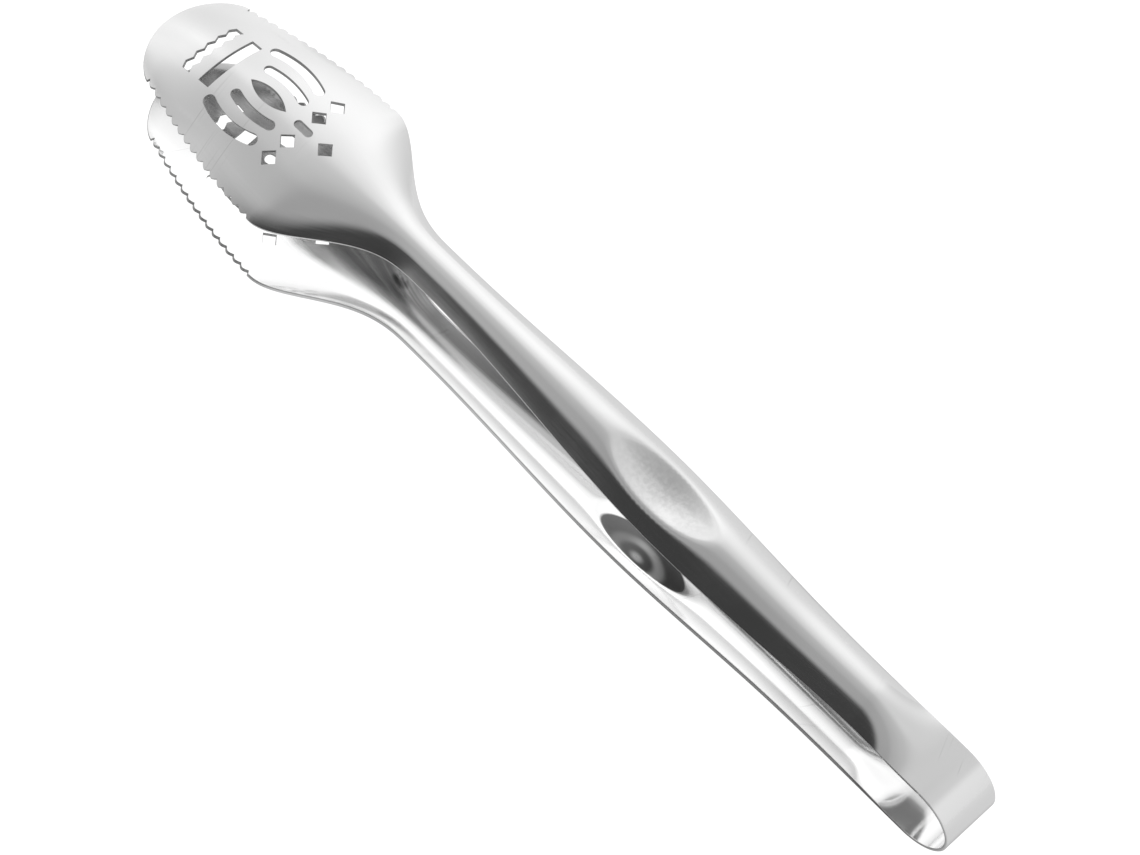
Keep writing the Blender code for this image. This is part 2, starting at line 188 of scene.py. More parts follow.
@dataclass(frozen=True)
class StripForm:
    """Sizes of the pressed strip, and the formulas that give its shape.

    Rims, arches and the dome are heights of the outer face: a rim over the tongs' middle plane, an
    arch or the dome over the rim. Shares from swell_share to narrow_share are of the handle's
    length, the others of the scoop's. Powers shape the curves of the scoop's outline, and
    slope_step is the distance over which a slope is measured.
    """

    sheet: float = 0.0010
    edge_round: float = 0.00013
    bow_radius: float = 0.0123
    leaf_length: float = 0.0040
    handle_length: float = 0.1797
    head_length: float = 0.1040

    bow_width: float = 0.0174
    handle_width: float = 0.0223
    neck_width: float = 0.0143
    shoulder_width: float = 0.0522
    front_width: float = 0.0358
    front_round: float = 0.0116

    dip_rim: float = 0.01135
    neck_rim: float = 0.01725
    head_rim: float = 0.0147
    heel_arch: float = 0.0047
    handle_arch: float = 0.0058
    neck_arch: float = 0.0040
    head_dome: float = 0.0080

    dimple_length: float = 0.0366
    dimple_width: float = 0.0130
    dimple_depth: float = 0.0032
    dimple_crease: float = 0.06

    swell_share: float = 0.0987
    heel_share: float = 0.1150
    dip_share: float = 0.2879
    arched_share: float = 0.4208
    widest_share: float = 0.5105
    dimple_share: float = 0.5223
    narrow_share: float = 0.9773
    rim_settles_share: float = 0.41
    shoulder_share: float = 0.405
    dome_full_share: float = 0.43
    dome_falls_share: float = 0.60

    shoulder_power: float = 1.35
    taper_power: float = 1.75
    front_power: float = 0.7
    slope_step: float = 0.00005

    @property
    def leaf_start(self) -> float:
        """Where the flat leaf starts, at the end of the bow."""
        return self.bow_radius

    @property
    def handle_start(self) -> float:
        """Where the channel handle starts."""
        return self.leaf_start + self.leaf_length

    @property
    def head_start(self) -> float:
        """Where the scoop starts."""
        return self.handle_start + self.handle_length

    @property
    def tip(self) -> float:
        """Foremost place of the strip."""
        return self.head_start + self.head_length

    @property
    def front_corner(self) -> float:
        """Where the side of the scoop runs into its rounded front."""
        return self.tip - self.front_round

    @property
    def dimple_middle(self) -> float:
        """Middle of the thumb dimple."""
        return self.on_handle(self.dimple_share)

    def along(self, x: Points) -> Points:
        """Distance along the strip from the back of the bow."""
        return x + (math.pi / 2.0 - 1.0) * self.bow_radius

    def on_handle(self, share: float) -> float:
        """Place at a share of the handle's length."""
        return self.handle_start + share * self.handle_length

    def on_head(self, share: float) -> float:
        """Place at a share of the scoop's length."""
        return self.head_start + share * self.head_length

    def half_width(self, x: Points) -> Points:
        """Half the width of the strip at x, with the scoop's sides carried on past its front.

        Args:
            x: Places along the strip.

        Returns:
            Half widths.
        """
        shoulder = self.on_head(self.shoulder_share)
        narrow = self.on_handle(self.narrow_share)
        widest = self.on_handle(self.widest_share)
        spread = self.shoulder_width - self.neck_width
        steps = (
            Step(self.on_handle(self.swell_share), widest, self.handle_width - self.bow_width),
            Step(widest, narrow, self.neck_width - self.handle_width),
            Step(self.head_start, shoulder, spread, self.shoulder_power),
        )
        past = np.maximum((x - shoulder) / (self.front_corner - shoulder), 0.0)
        taper = past**self.taper_power
        width = self.bow_width + sum(step.at(x) for step in steps)
        return (width - (self.shoulder_width - self.front_width) * taper) / 2.0

    def front(self, y: Points) -> Points:
        """Place of the rounded front at a distance y from the middle line."""
        v = np.clip(2.0 * y / self.front_width, -1.0, 1.0)
        return self.front_corner + self.front_round * (1.0 - v * v) ** self.front_power

    def rim(self, x: Points) -> Points:
        """Height of the strip's edges at x.

        Args:
            x: Places along the strip.

        Returns:
            Heights over the tongs' middle plane.
        """
        dip = self.on_handle(self.dip_share)
        narrow = self.on_handle(self.narrow_share)
        settles = self.on_head(self.rim_settles_share)
        steps = (
            Step(self.on_handle(self.swell_share), dip, self.dip_rim - self.bow_radius),
            Step(dip, narrow, self.neck_rim - self.dip_rim),
            Step(self.head_start, settles, self.head_rim - self.neck_rim),
        )
        return self.bow_radius + sum(step.at(x) for step in steps)

    def arch(self, x: Points, y: Points) -> Points:
        """Height of the face over the strip's edges at x, y.

        Args:
            x: Places along the strip.
            y: Places across it.

        Returns:
            Heights, which vanish along the sides and along the rounded front.
        """
        heel = self.on_handle(self.heel_share)
        arched = self.on_handle(self.arched_share)
        widest = self.on_handle(self.widest_share)
        narrow = self.on_handle(self.narrow_share)
        full = self.on_head(self.dome_full_share)
        steps = (
            Step(self.handle_start, heel, self.heel_arch),
            Step(heel, arched, self.handle_arch - self.heel_arch),
            Step(widest, narrow, self.neck_arch - self.handle_arch),
            Step(self.head_start, full, self.head_dome - self.neck_arch),
        )
        falls = self.on_head(self.dome_falls_share)
        t = np.clip((x - falls) / (self.front(y) - falls), 0.0, 1.0)
        v = y / self.half_width(x)
        crown = sum(step.at(x) for step in steps)
        return crown * np.maximum(1.0 - v * v, 0.0) * (1.0 - t * t)

    def dimple(self, x: Points, y: Points) -> Points:
        """Share of the thumb dimple's depth at x, y, with a softened crease round it.

        Args:
            x: Places along the strip.
            y: Places across it.

        Returns:
            Shares, one in the dimple's middle and less than nothing well away from it.
        """
        u = 2.0 * (x - self.dimple_middle) / self.dimple_length
        v = 2.0 * y / self.dimple_width
        inside = 1.0 - u * u - v * v
        softened = (inside + np.sqrt(inside * inside + self.dimple_crease)) / 2.0
        return softened - self.dimple_crease / 4.0

    def height(self, x: Points, y: Points) -> Points:
        """Height of the outer face at x, y.

        Args:
            x: Places along the strip.
            y: Places across it.

        Returns:
            Heights over the tongs' middle plane.
        """
        near = np.abs(x - self.dimple_middle) < self.dimple_length
        dimple = np.where(near, np.maximum(self.dimple(x, y), 0.0), 0.0)
        return self.rim(x) + self.arch(x, y) - self.dimple_depth * dimple

    def normal(self, x: Points, y: Points) -> Points:
        """Find which way the outer face looks at x, y.

        Args:
            x: Places along the strip.
            y: Places across it.

        Returns:
            Outward unit normals.
        """
        h = self.slope_step
        slope_x = (self.height(x + h, y) - self.height(x - h, y)) / (2.0 * h)
        slope_y = (self.height(x, y + h) - self.height(x, y - h)) / (2.0 * h)
        normals = np.stack([-slope_x, -slope_y, np.ones_like(slope_x)], axis=1)
        return normals / np.linalg.norm(normals, axis=1, keepdims=True)

    def pressed(self, flat: Points, depth: float) -> Points:
        """Press points of the blank into the strip's shape.

        Args:
            flat: Points x, y of the blank.
            depth: Distance under the outer face.

        Returns:
            Points x, y, z in the tongs' own frame, on the upper arm.
        """
        x, y = flat[:, 0], flat[:, 1]
        outer = np.stack([x, y, self.height(x, y)], axis=1)
        return outer - depth * self.normal(x, y)


def mesh_from(name: str, points: Points, faces: Sequence[Sequence[int]]) -> bpy.types.Mesh:
    """Make a smooth mesh.

    Args:
        name: Name of the mesh.
        points: Its points x, y, z.
        faces: Numbers of the points round each face.

    Returns:
        The mesh.
    """
    mesh = bpy.data.meshes.new(name)
    mesh.from_pydata([tuple(point) for point in points], [], [list(face) for face in faces])
    mesh.shade_smooth()
    return mesh


def add_object(name: str, data: bpy.types.ID) -> bpy.types.Object:
    """Link an object to the scene.

    Args:
        name: Name of the object.
        data: Its mesh or camera.

    Returns:
        The object, unturned and at the origin.
    """
    added = bpy.data.objects.new(name, data)
    bpy.context.scene.collection.objects.link(added)
    return added


def places_of(mesh: bpy.types.Mesh) -> Points:
    """Read the points of a mesh.

    Args:
        mesh: The mesh.

    Returns:
        Points x, y, z.
    """
    places = np.empty(len(mesh.vertices) * 3)
    mesh.vertices.foreach_get("co", places)
    return places.reshape(-1, 3)


def store_number(mesh: bpy.types.Mesh, name: str, values: np.ndarray) -> None:
    """Keep a number for each point of a mesh as an attribute."""
    attribute = mesh.attributes.new(name, "FLOAT", "POINT")
    attribute.data.foreach_set("value", np.ascontiguousarray(values, dtype=np.float32))


def store_vector(mesh: bpy.types.Mesh, name: str, parts: Sequence[np.ndarray]) -> None:
    """Keep a vector for each point of a mesh as an attribute.

    Args:
        mesh: The mesh.
        name: Name of the attribute.
        parts: The vectors' x, y and z, each for all points.
    """
    attribute = mesh.attributes.new(name, "FLOAT_VECTOR", "POINT")
    values = np.ascontiguousarray(np.stack(parts, axis=1), dtype=np.float32)
    attribute.data.foreach_set("vector", values.ravel())


class Wiring:
    """Node tree that is wired up node by node.

    Args:
        tree: The tree to add nodes to.
    """

    def __init__(self, tree: bpy.types.NodeTree) -> None:
        """Take the tree."""
        self.tree = tree

    def add(
        self, kind: str, values: dict[str | int, Any] | None = None, **settings: Any
    ) -> bpy.types.Node:
        """Add a node.

        Args:
            kind: Type name of the node.
            values: Value or socket for each of its inputs, by name or number.
            settings: Options of the node.

        Returns:
            The node.
        """
        node = self.tree.nodes.new(kind)
        for option, value in settings.items():
            setattr(node, option, value)
        for key, value in (values or {}).items():
            self.plug(value, node.inputs[key])
        return node

    def plug(self, value: Any, socket: Socket) -> None:
        """Link a socket, or set a plain value.

        Args:
            value: Socket or value that goes in.
            socket: Where it goes in.
        """
        if isinstance(value, Socket):
            self.tree.links.new(value, socket)
        else:
            socket.default_value = value

    def math(self, operation: str, *values: Any) -> Socket:
        """Add a math node and give its result."""
        node = self.add("ShaderNodeMath", dict(enumerate(values)), operation=operation)
        return node.outputs[0]

    def times(self, a: Any, b: Any) -> Socket:
        """Product of two numbers."""
        return self.math("MULTIPLY", a, b)

    def less(self, a: Any, b: Any) -> Socket:
        """First number less the second."""
        return self.math("SUBTRACT", a, b)

    def over(self, a: Any, b: Any) -> Socket:
        """First number divided by the second."""
        return self.math("DIVIDE", a, b)

    def vector(self, x: Any = 0.0, y: Any = 0.0, z: Any = 0.0) -> Socket:
        """Join three numbers to a vector."""
        return self.add("ShaderNodeCombineXYZ", {0: x, 1: y, 2: z}).outputs[0]

    def apart(self, vector: Socket) -> tuple[Socket, ...]:
        """Three numbers of a vector."""
        return tuple(self.add("ShaderNodeSeparateXYZ", {0: vector}).outputs)

    def length(self, x: Any, y: Any) -> Socket:
        """Length of a vector from its two parts."""
        return self.math("SQRT", self.math("MULTIPLY_ADD", x, x, self.times(y, y)))

    def between(self, share: Any, low: Any, high: Any) -> Socket:
        """Number that goes from low to high with a share."""
        values = {0: share, 2: low, 3: high}
        return self.add("ShaderNodeMix", values, data_type="FLOAT").outputs[0]

    def tinted(self, share: Any, low: Any, high: Any) -> Socket:
        """Colour that goes from low to high with a share."""
        values = {0: share, 6: low, 7: high}
        return self.add("ShaderNodeMix", values, data_type="RGBA").outputs[2]

    def eased(
        self, value: Any, start: Any, end: Any, low: float = 0.0, high: float = 1.0
    ) -> Socket:
        """Let a number go smoothly from low to high.

        Args:
            value: Value that it follows.
            start: Where that value starts to count.
            end: Where the number is complete.
            low: Number up to the start.
            high: Number from the end on.

        Returns:
            The number.
        """
        values = {"Value": value, "From Min": start, "From Max": end, "To Min": low, "To Max": high}
        return self.add("ShaderNodeMapRange", values, interpolation_type="SMOOTHSTEP").outputs[0]

    def camera_ray(self) -> Socket:
        """One where the camera looks straight at a place, and nothing in a reflection."""
        return self.add("ShaderNodeLightPath").outputs["Is Camera Ray"]


class ShapeTree(Wiring):
    """Geometry node tree whose sizes are named inputs.

    Args:
        name: Name of the tree.
        sizes: Named inputs of the tree, with the value that each gets.
    """

    def __init__(self, name: str, sizes: dict[str, float]) -> None:
        """Start the tree with its named inputs.

        Args:
            name: Name of the tree.
            sizes: Named inputs of the tree, with the value that each gets.
        """
        super().__init__(bpy.data.node_groups.new(name, "GeometryNodeTree"))
        self.sizes = sizes
        self.identifiers: dict[str, str] = {}
        sockets = self.tree.interface
        sockets.new_socket("Geometry", in_out="INPUT", socket_type="NodeSocketGeometry")
        sockets.new_socket("Geometry", in_out="OUTPUT", socket_type="NodeSocketGeometry")
        for size, value in sizes.items():
            kind = "NodeSocketInt" if isinstance(value, int) else "NodeSocketFloat"
            socket = sockets.new_socket(size, in_out="INPUT", socket_type=kind)
            self.identifiers[size] = socket.identifier
        self.inputs = self.tree.nodes.new("NodeGroupInput").outputs
        self.output = self.tree.nodes.new("NodeGroupOutput")

    def attribute(self, name: str, kind: str) -> Socket:
        """Read a named attribute of the geometry."""
        node = self.add("GeometryNodeInputNamedAttribute", {"Name": name}, data_type=kind)
        return node.outputs[0]

    def plain_mesh(
        self,
        name: str,
        result: Socket,
        material: bpy.types.Material,
        seed: bpy.types.Mesh | None = None,
    ) -> bpy.types.Mesh:
        """End the tree, run it once and keep what it makes.

        Args:
            name: Name of the mesh.
            result: Geometry to end the tree with.
            material: Material that every face gets.
            seed: Mesh that the tree starts from, if it needs one.

        Returns:
            A plain mesh with no modifier.
        """
        real = self.add("GeometryNodeRealizeInstances", {"Geometry": result}).outputs[0]
        dressed = self.add("GeometryNodeSetMaterial", {"Geometry": real, "Material": material})
        self.tree.links.new(dressed.outputs[0], self.output.inputs[0])
        seed = seed or bpy.data.meshes.new(name + "_seed")
        carrier = add_object(name, seed)
        modifier = carrier.modifiers.new(name, "NODES")
        modifier.node_group = self.tree
        for size, value in self.sizes.items():
            modifier[self.identifiers[size]] = value
        graph = bpy.context.evaluated_depsgraph_get()
        mesh = bpy.data.meshes.new_from_object(carrier.evaluated_get(graph))
        carrier.modifiers.clear()
        bpy.data.objects.remove(carrier)
        bpy.data.meshes.remove(seed)
        mesh.name = name
        return mesh


@dataclass(frozen=True)
class ToothedSide:
    """Row of small scallops with sharp notches along the side of a scoop.

    Args:
        form: Form of the strip.
        count: Number of scallops.
        pitch: Length of one scallop.
        depth: Depth of the notches between them.
        to_corner: Distance from the top of the last scallop to the front corner.
        points: Points along one scallop.
        merged: Share of the distance between points under which two are one.
    """

    form: StripForm
    count: int = 15
    pitch: float = 0.00323
    depth: float = 0.0009
    to_corner: float = 0.0018
    points: int = 13
    merged: float = 0.25

    @property
    def start(self) -> float:
        """Place of the first notch."""
        last_tip = self.form.front_corner - self.to_corner
        return last_tip - (self.count - 0.5) * self.pitch

    def notched_line(self, steel: bpy.types.Material) -> Points:
        """Lay one scallop after the other with geometry nodes.

        Args:
            steel: Material of the tongs.

        Returns:
            Points (x, inset) in order along the side.
        """
        tree = ShapeTree(
            "toothed_side",
            {"Teeth": self.count, "Pitch": self.pitch, "Depth": self.depth, "Points": self.points},
        )
        points, pitch = tree.inputs["Points"], tree.inputs["Pitch"]
        spans = tree.less(points, 1.0)
        step = tree.vector(tree.over(pitch, spans))
        scallop = tree.add("GeometryNodeMeshLine", {"Count": points, "Offset": step}).outputs[0]
        share = tree.over(tree.add("GeometryNodeInputIndex").outputs[0], spans)
        bulge = tree.math("SINE", tree.times(share, math.pi))
        inset = tree.vector(y=tree.times(tree.less(1.0, bulge), tree.inputs["Depth"]))
        bent = tree.add("GeometryNodeSetPosition", {"Geometry": scallop, "Offset": inset})
        places = {"Count": tree.inputs["Teeth"], "Offset": tree.vector(pitch)}
        row = tree.add("GeometryNodeMeshLine", places).outputs[0]
        teeth = tree.add(
            "GeometryNodeInstanceOnPoints", {"Points": row, "Instance": bent.outputs[0]}
        )
        mesh = tree.plain_mesh("toothed_side", teeth.outputs[0], steel)
        line = places_of(mesh)
        bpy.data.meshes.remove(mesh)
        line = line[np.argsort(line[:, 0], kind="stable")]
        apart = np.diff(line[:, 0], prepend=-1.0) > self.merged * self.pitch / self.points
        return line[apart, :2] + (self.start, 0.0)


def span_count(length: float, spacing: float, fewest: int = 4) -> int:
    """Number of spans that a length is divided into."""
    return max(fewest, round(length / spacing))


def arc_slot(length: float, width: float, radius: float, spacing: float) -> Loop:
    """Outline of a slot with round ends, bent round a middle below it.

    Args:
        length: Length over both ends.
        width: Width of the slot.
        radius: Radius of its middle line.
        spacing: Distance between points.

    Returns:
        Outline with its middle at the origin.
    """
    half = (length - width) / 2.0
    along = np.linspace(half, -half, span_count(2.0 * half, spacing) + 1)
    round_end = span_count(math.pi * width / 2.0, spacing)
    turn = np.linspace(0.0, math.pi, round_end + 1)[1:-1]
    upper = np.stack([along, np.full_like(along, width / 2.0)], axis=1)
    rear = np.stack([-half - width / 2.0 * np.sin(turn), width / 2.0 * np.cos(turn)], axis=1)
    flat = np.concatenate([upper, rear, -upper, -rear])
    angle = flat[:, 0] / radius
    reach = radius + flat[:, 1]
    return np.stack([reach * np.sin(angle), reach * np.cos(angle) - radius], axis=1)


def lens(length: float, width: float, spacing: float) -> Loop:
    """Outline between two arcs that meet in a point at both ends.

    Args:
        length: Length from point to point.
        width: Width in the middle.
        spacing: Distance between points.

    Returns:
        Outline with its middle at the origin.
    """
    half, bulge = length / 2.0, width / 2.0
    radius = (half * half + bulge * bulge) / (2.0 * bulge)
    reach = math.asin(half / radius)
    angle = np.linspace(reach, -reach, span_count(length, spacing) + 1)[:-1]
    side = np.stack([radius * np.sin(angle), radius * np.cos(angle) - radius + bulge], axis=1)
    return np.concatenate([side, -side])


def filled_in(corners: Sequence[tuple[float, float]], spacing: float) -> Loop:
    """Outline with straight edges between corners and points along each edge.

    Args:
        corners: Corners x, y in order.
        spacing: Distance between points.

    Returns:
        The outline.
    """
    points = []
    for (x0, y0), (x1, y1) in zip(corners, (*corners[1:], corners[0])):
        count = span_count(math.hypot(x1 - x0, y1 - y0), spacing, fewest=1)
        for k in range(count):
            points.append((x0 + (x1 - x0) * k / count, y0 + (y1 - y0) * k / count))
    return np.array(points)


def cross_slot(length: float, width: float, wave: float, waves: int, spacing: float) -> Loop:
    """Outline of a slot across the scoop, whose long edges zigzag side by side if it has waves.

    Args:
        length: Length across the scoop.
        width: Width along it.
        wave: How far the long edges swing.
        waves: Number of waves in each of them, which may be none.
        spacing: Distance between points.

    Returns:
        Outline with its middle at the origin.
    """
    count = max(1, 2 * waves)
    ys = [length * (k / count - 0.5) for k in range(count + 1)]
    shifts = [wave / 2.0 * (1.0 if k % 2 else -1.0) for k in range(count + 1)]
    front = [(width / 2.0 + shift, y) for shift, y in zip(shifts, ys)]
    back = [(shift - width / 2.0, y) for shift, y in zip(shifts, ys)]
    return filled_in(front + back[::-1], spacing)


class Punch(Enum):
    """Kinds of punch for the drain holes, in the order of their names."""

    DIAMOND = "diamond"
    INNER_SLOT = "inner_slot"
    LENS = "lens"
    OUTER_SLOT = "outer_slot"
    PILL = "pill"
    PLAIN_SLOT = "plain_slot"
    WAVY_SLOT = "wavy_slot"


@dataclass(frozen=True)
class DrainHoles:
    """Pattern of drain holes in a scoop.

    Each kind of hole has its length and width. A web is the sheet left between a hole and the one
    before it, counted from the tip to the rear and from the middle line outwards.

    Args:
        form: Form of the strip.
        wavy_from_tip: Distance from the tip to the middle of the wavy slot.
        wave_depth: How far the wavy slot's long edges swing.
        waves: Number of waves in them.
        inner_behind: How far the inner side slots lie behind the lens.
        outer_ahead: How far the outer side slots lie ahead of it.
        slot_radius: Radius to which the side slots are bent.
        spacing: Distance between the points of an outline.
    """

    form: StripForm
    wavy_from_tip: float = 0.0171
    wavy_length: float = 0.0188
    wavy_width: float = 0.0027
    wave_depth: float = 0.0009
    waves: int = 5
    front_web: float = 0.00385
    plain_length: float = 0.0188
    plain_width: float = 0.0037
    lens_web: float = 0.00675
    lens_length: float = 0.0136
    lens_width: float = 0.0045
    inner_web: float = 0.0031
    inner_length: float = 0.0165
    inner_width: float = 0.0029
    inner_behind: float = 0.0004
    outer_web: float = 0.0034
    outer_length: float = 0.0206
    outer_width: float = 0.0033
    outer_ahead: float = 0.0018
    slot_radius: float = 0.0232
    pill_web: float = 0.0039
    pill_length: float = 0.0062
    pill_width: float = 0.0024
    near_diamond_web: float = 0.00175
    far_diamond_web: float = 0.0014
    rear_diamond_web: float = 0.00295
    diamond_side: float = 0.0036
    spacing: float = 0.0004

    @property
    def diamond_reach(self) -> float:
        """Distance from the middle of a diamond to its points."""
        return self.diamond_side / math.sqrt(2.0)

    def punches(self) -> dict[Punch, Loop]:
        """Draw each kind of punch.

        Returns:
            Outline of each kind of hole, with its middle at the origin.
        """
        reach, fine, bend = self.diamond_reach, self.spacing, self.slot_radius
        square = ((reach, 0.0), (0.0, reach), (-reach, 0.0), (0.0, -reach))
        wave = (self.wave_depth, self.waves)
        return {
            Punch.DIAMOND: filled_in(square, fine),
            Punch.INNER_SLOT: arc_slot(self.inner_length, self.inner_width, bend, fine),
            Punch.LENS: lens(self.lens_length, self.lens_width, fine),
            Punch.OUTER_SLOT: arc_slot(self.outer_length, self.outer_width, bend, fine),
            Punch.PILL: arc_slot(self.pill_length, self.pill_width, self.form.tip, fine),
            Punch.PLAIN_SLOT: cross_slot(self.plain_length, self.plain_width, 0.0, 0, fine),
            Punch.WAVY_SLOT: cross_slot(self.wavy_length, self.wavy_width, *wave, fine),
        }

    def layout(self) -> list[tuple[Punch, float, float]]:
        """Work out the place of every hole.

        Returns:
            Kind, x and y of each hole. A negative y stands for a mirrored one.
        """
        reach = self.diamond_reach
        wavy_x = self.form.tip - self.wavy_from_tip
        front_half = (self.wavy_width + self.wave_depth + self.plain_width) / 2.0
        plain_x = wavy_x - front_half - self.front_web
        lens_x = plain_x - (self.plain_width + self.lens_length) / 2.0 - self.lens_web
        pill_x = lens_x - (self.lens_length + self.pill_length) / 2.0 - self.pill_web
        rear_x = pill_x - self.pill_length / 2.0 - self.rear_diamond_web - reach
        inner_y = (self.lens_width + self.inner_width) / 2.0 + self.inner_web
        outer_y = inner_y + (self.inner_width + self.outer_width) / 2.0 + self.outer_web
        near_y = self.pill_width / 2.0 + self.near_diamond_web + reach
        far_y = near_y + 2.0 * reach + self.far_diamond_web
        places = [
            (Punch.WAVY_SLOT, wavy_x, 0.0),
            (Punch.PLAIN_SLOT, plain_x, 0.0),
            (Punch.LENS, lens_x, 0.0),
            (Punch.PILL, pill_x, 0.0),
            (Punch.DIAMOND, rear_x, 0.0),
        ]
        for side in (1.0, -1.0):
            places += [
                (Punch.INNER_SLOT, lens_x - self.inner_behind, side * inner_y),
                (Punch.OUTER_SLOT, lens_x + self.outer_ahead, side * outer_y),
                (Punch.DIAMOND, pill_x, side * near_y),
                (Punch.DIAMOND, pill_x, side * far_y),
            ]
        return places

    def outlines(self, steel: bpy.types.Material) -> list[Loop]:
        """Set every punch down in its place with geometry nodes.

        Args:
            steel: Material of the tongs.

        Returns:
            One closed outline for each hole, with the sheet on its left.
        """
        rack = bpy.data.collections.new("punches")
        for punch, outline in self.punches().items():
            mesh = outline_mesh(punch.value, outline)
            rack.objects.link(bpy.data.objects.new("punch_" + punch.value, mesh))
        order = list(Punch)
        layout = self.layout()
        spots = bpy.data.meshes.new("punch_spots")
        spots.from_pydata([(x, y, 0.0) for _, x, y in layout], [], [])
        numbers = spots.attributes.new("punch", "INT", "POINT")
        numbers.data.foreach_set("value", [order.index(punch) for punch, _, _ in layout])
        store_number(spots, "flip", np.array([math.copysign(1.0, y) for _, _, y in layout]))
        tree = ShapeTree("drain_holes", {"Punch scale": 1.0})
        tools = tree.add(
            "GeometryNodeCollectionInfo", {"Separate Children": True, "Reset Children": True}
        )
        tools.inputs["Collection"].default_value = rack
        size = tree.inputs["Punch scale"]
        flipped = tree.times(size, tree.attribute("flip", "FLOAT"))
        punched = tree.add(
            "GeometryNodeInstanceOnPoints",
            {
                "Points": tree.inputs["Geometry"],
                "Instance": tools.outputs[0],
                "Pick Instance": True,
                "Instance Index": tree.attribute("punch", "INT"),
                "Scale": tree.vector(size, flipped, 1.0),
            },
        )
        mesh = tree.plain_mesh("drain_holes", punched.outputs[0], steel, spots)
        loops = [clockwise(loop) for loop in edge_loops(mesh)]
        bpy.data.meshes.remove(mesh)
        for tool in list(rack.objects):
            bpy.data.objects.remove(tool)
        bpy.data.collections.remove(rack)
        return loops


def outline_mesh(name: str, outline: Loop) -> bpy.types.Mesh:
    """Closed ring of edges through the points of an outline.

    Args:
        name: Name of the mesh.
        outline: Points x, y in order.

    Returns:
        Mesh with edges only.
    """
    count = len(outline)
    edges = [(k, (k + 1) % count) for k in range(count)]
    mesh = bpy.data.meshes.new(name)
    mesh.from_pydata([(x, y, 0.0) for x, y in outline], edges, [])
    return mesh


def edge_loops(mesh: bpy.types.Mesh) -> list[Loop]:
    """Follow a mesh's edges round its closed outlines.

    Args:
        mesh: Mesh each of whose points has two edges.

    Returns:
        Outlines as points x, y.
    """
    neighbours: dict[int, list[int]] = {}
    for edge in mesh.edges:
        a, b = edge.vertices
        neighbours.setdefault(a, []).append(b)
        neighbours.setdefault(b, []).append(a)
    loops = []
    while neighbours:
        start, (step, _) = next(iter(neighbours.items()))
        ring = [start]
        last, here = start, step
        while here != start:
            ring.append(here)
            a, b = neighbours[here]
            last, here = here, b if a == last else a
        for index in ring:
            del neighbours[index]
        loops.append(np.array([mesh.vertices[index].co[:2] for index in ring]))
    return loops


def clockwise(loop: Loop) -> Loop:
    """Turn an outline so that it runs clockwise.

    Args:
        loop: Points x, y in order, either way round.

    Returns:
        The same outline, clockwise.
    """
    ahead = np.roll(loop, -1, axis=0)
    area = np.sum(loop[:, 0] * ahead[:, 1] - ahead[:, 0] * loop[:, 1])
    return loop[::-1].copy() if area > 0.0 else loop


def outward(loop: Loop, least: float = 0.5) -> Points:
    """Find which way leads out of the sheet at each point of an outline.

    Args:
        loop: Outline with the sheet on its left.
        least: Least share that a direction may make with its edges, so that none gets too long.

    Returns:
        Directions that move both edges of a point out by one.
    """
    along = np.roll(loop, -1, axis=0) - loop
    along /= np.linalg.norm(along, axis=1, keepdims=True)
    right = np.stack([along[:, 1], -along[:, 0]], axis=1)
    both = right + np.roll(right, 1, axis=0)
    return both / np.maximum(np.sum(both * right, axis=1, keepdims=True), least)


def inside(points: Points, loop: Loop) -> np.ndarray:
    """Tell which points lie inside an outline.

    Args:
        points: Points x, y.
        loop: The outline.

    Returns:
        True for each point inside.
    """
    a, b = loop, np.roll(loop, -1, axis=0)
    px, py = points[:, 0:1], points[:, 1:2]
    spans = (a[:, 1] > py) != (b[:, 1] > py)
    rise = np.where(b[:, 1] == a[:, 1], 1.0, b[:, 1] - a[:, 1])
    crosses = px < a[:, 0] + (py - a[:, 1]) * (b[:, 0] - a[:, 0]) / rise
    return np.count_nonzero(spans & crosses, axis=1) % 2 == 1


def away_from(points: Points, loop: Loop, distance: float) -> np.ndarray:
    """Tell which points are clear of an outline.

    Args:
        points: Points x, y.
        loop: The outline.
        distance: Distance to keep from the outline's points.

    Returns:
        True for each point that is further away than that.
    """
    low, high = loop.min(axis=0) - distance, loop.max(axis=0) + distance
    near = np.all((points > low) & (points < high), axis=1)
    clear = np.ones(len(points), dtype=bool)
    gaps = points[near][:, None, :] - loop[None, :, :]
    clear[near] = np.min(np.sum(gaps * gaps, axis=2), axis=1) > distance * distance
    return clear


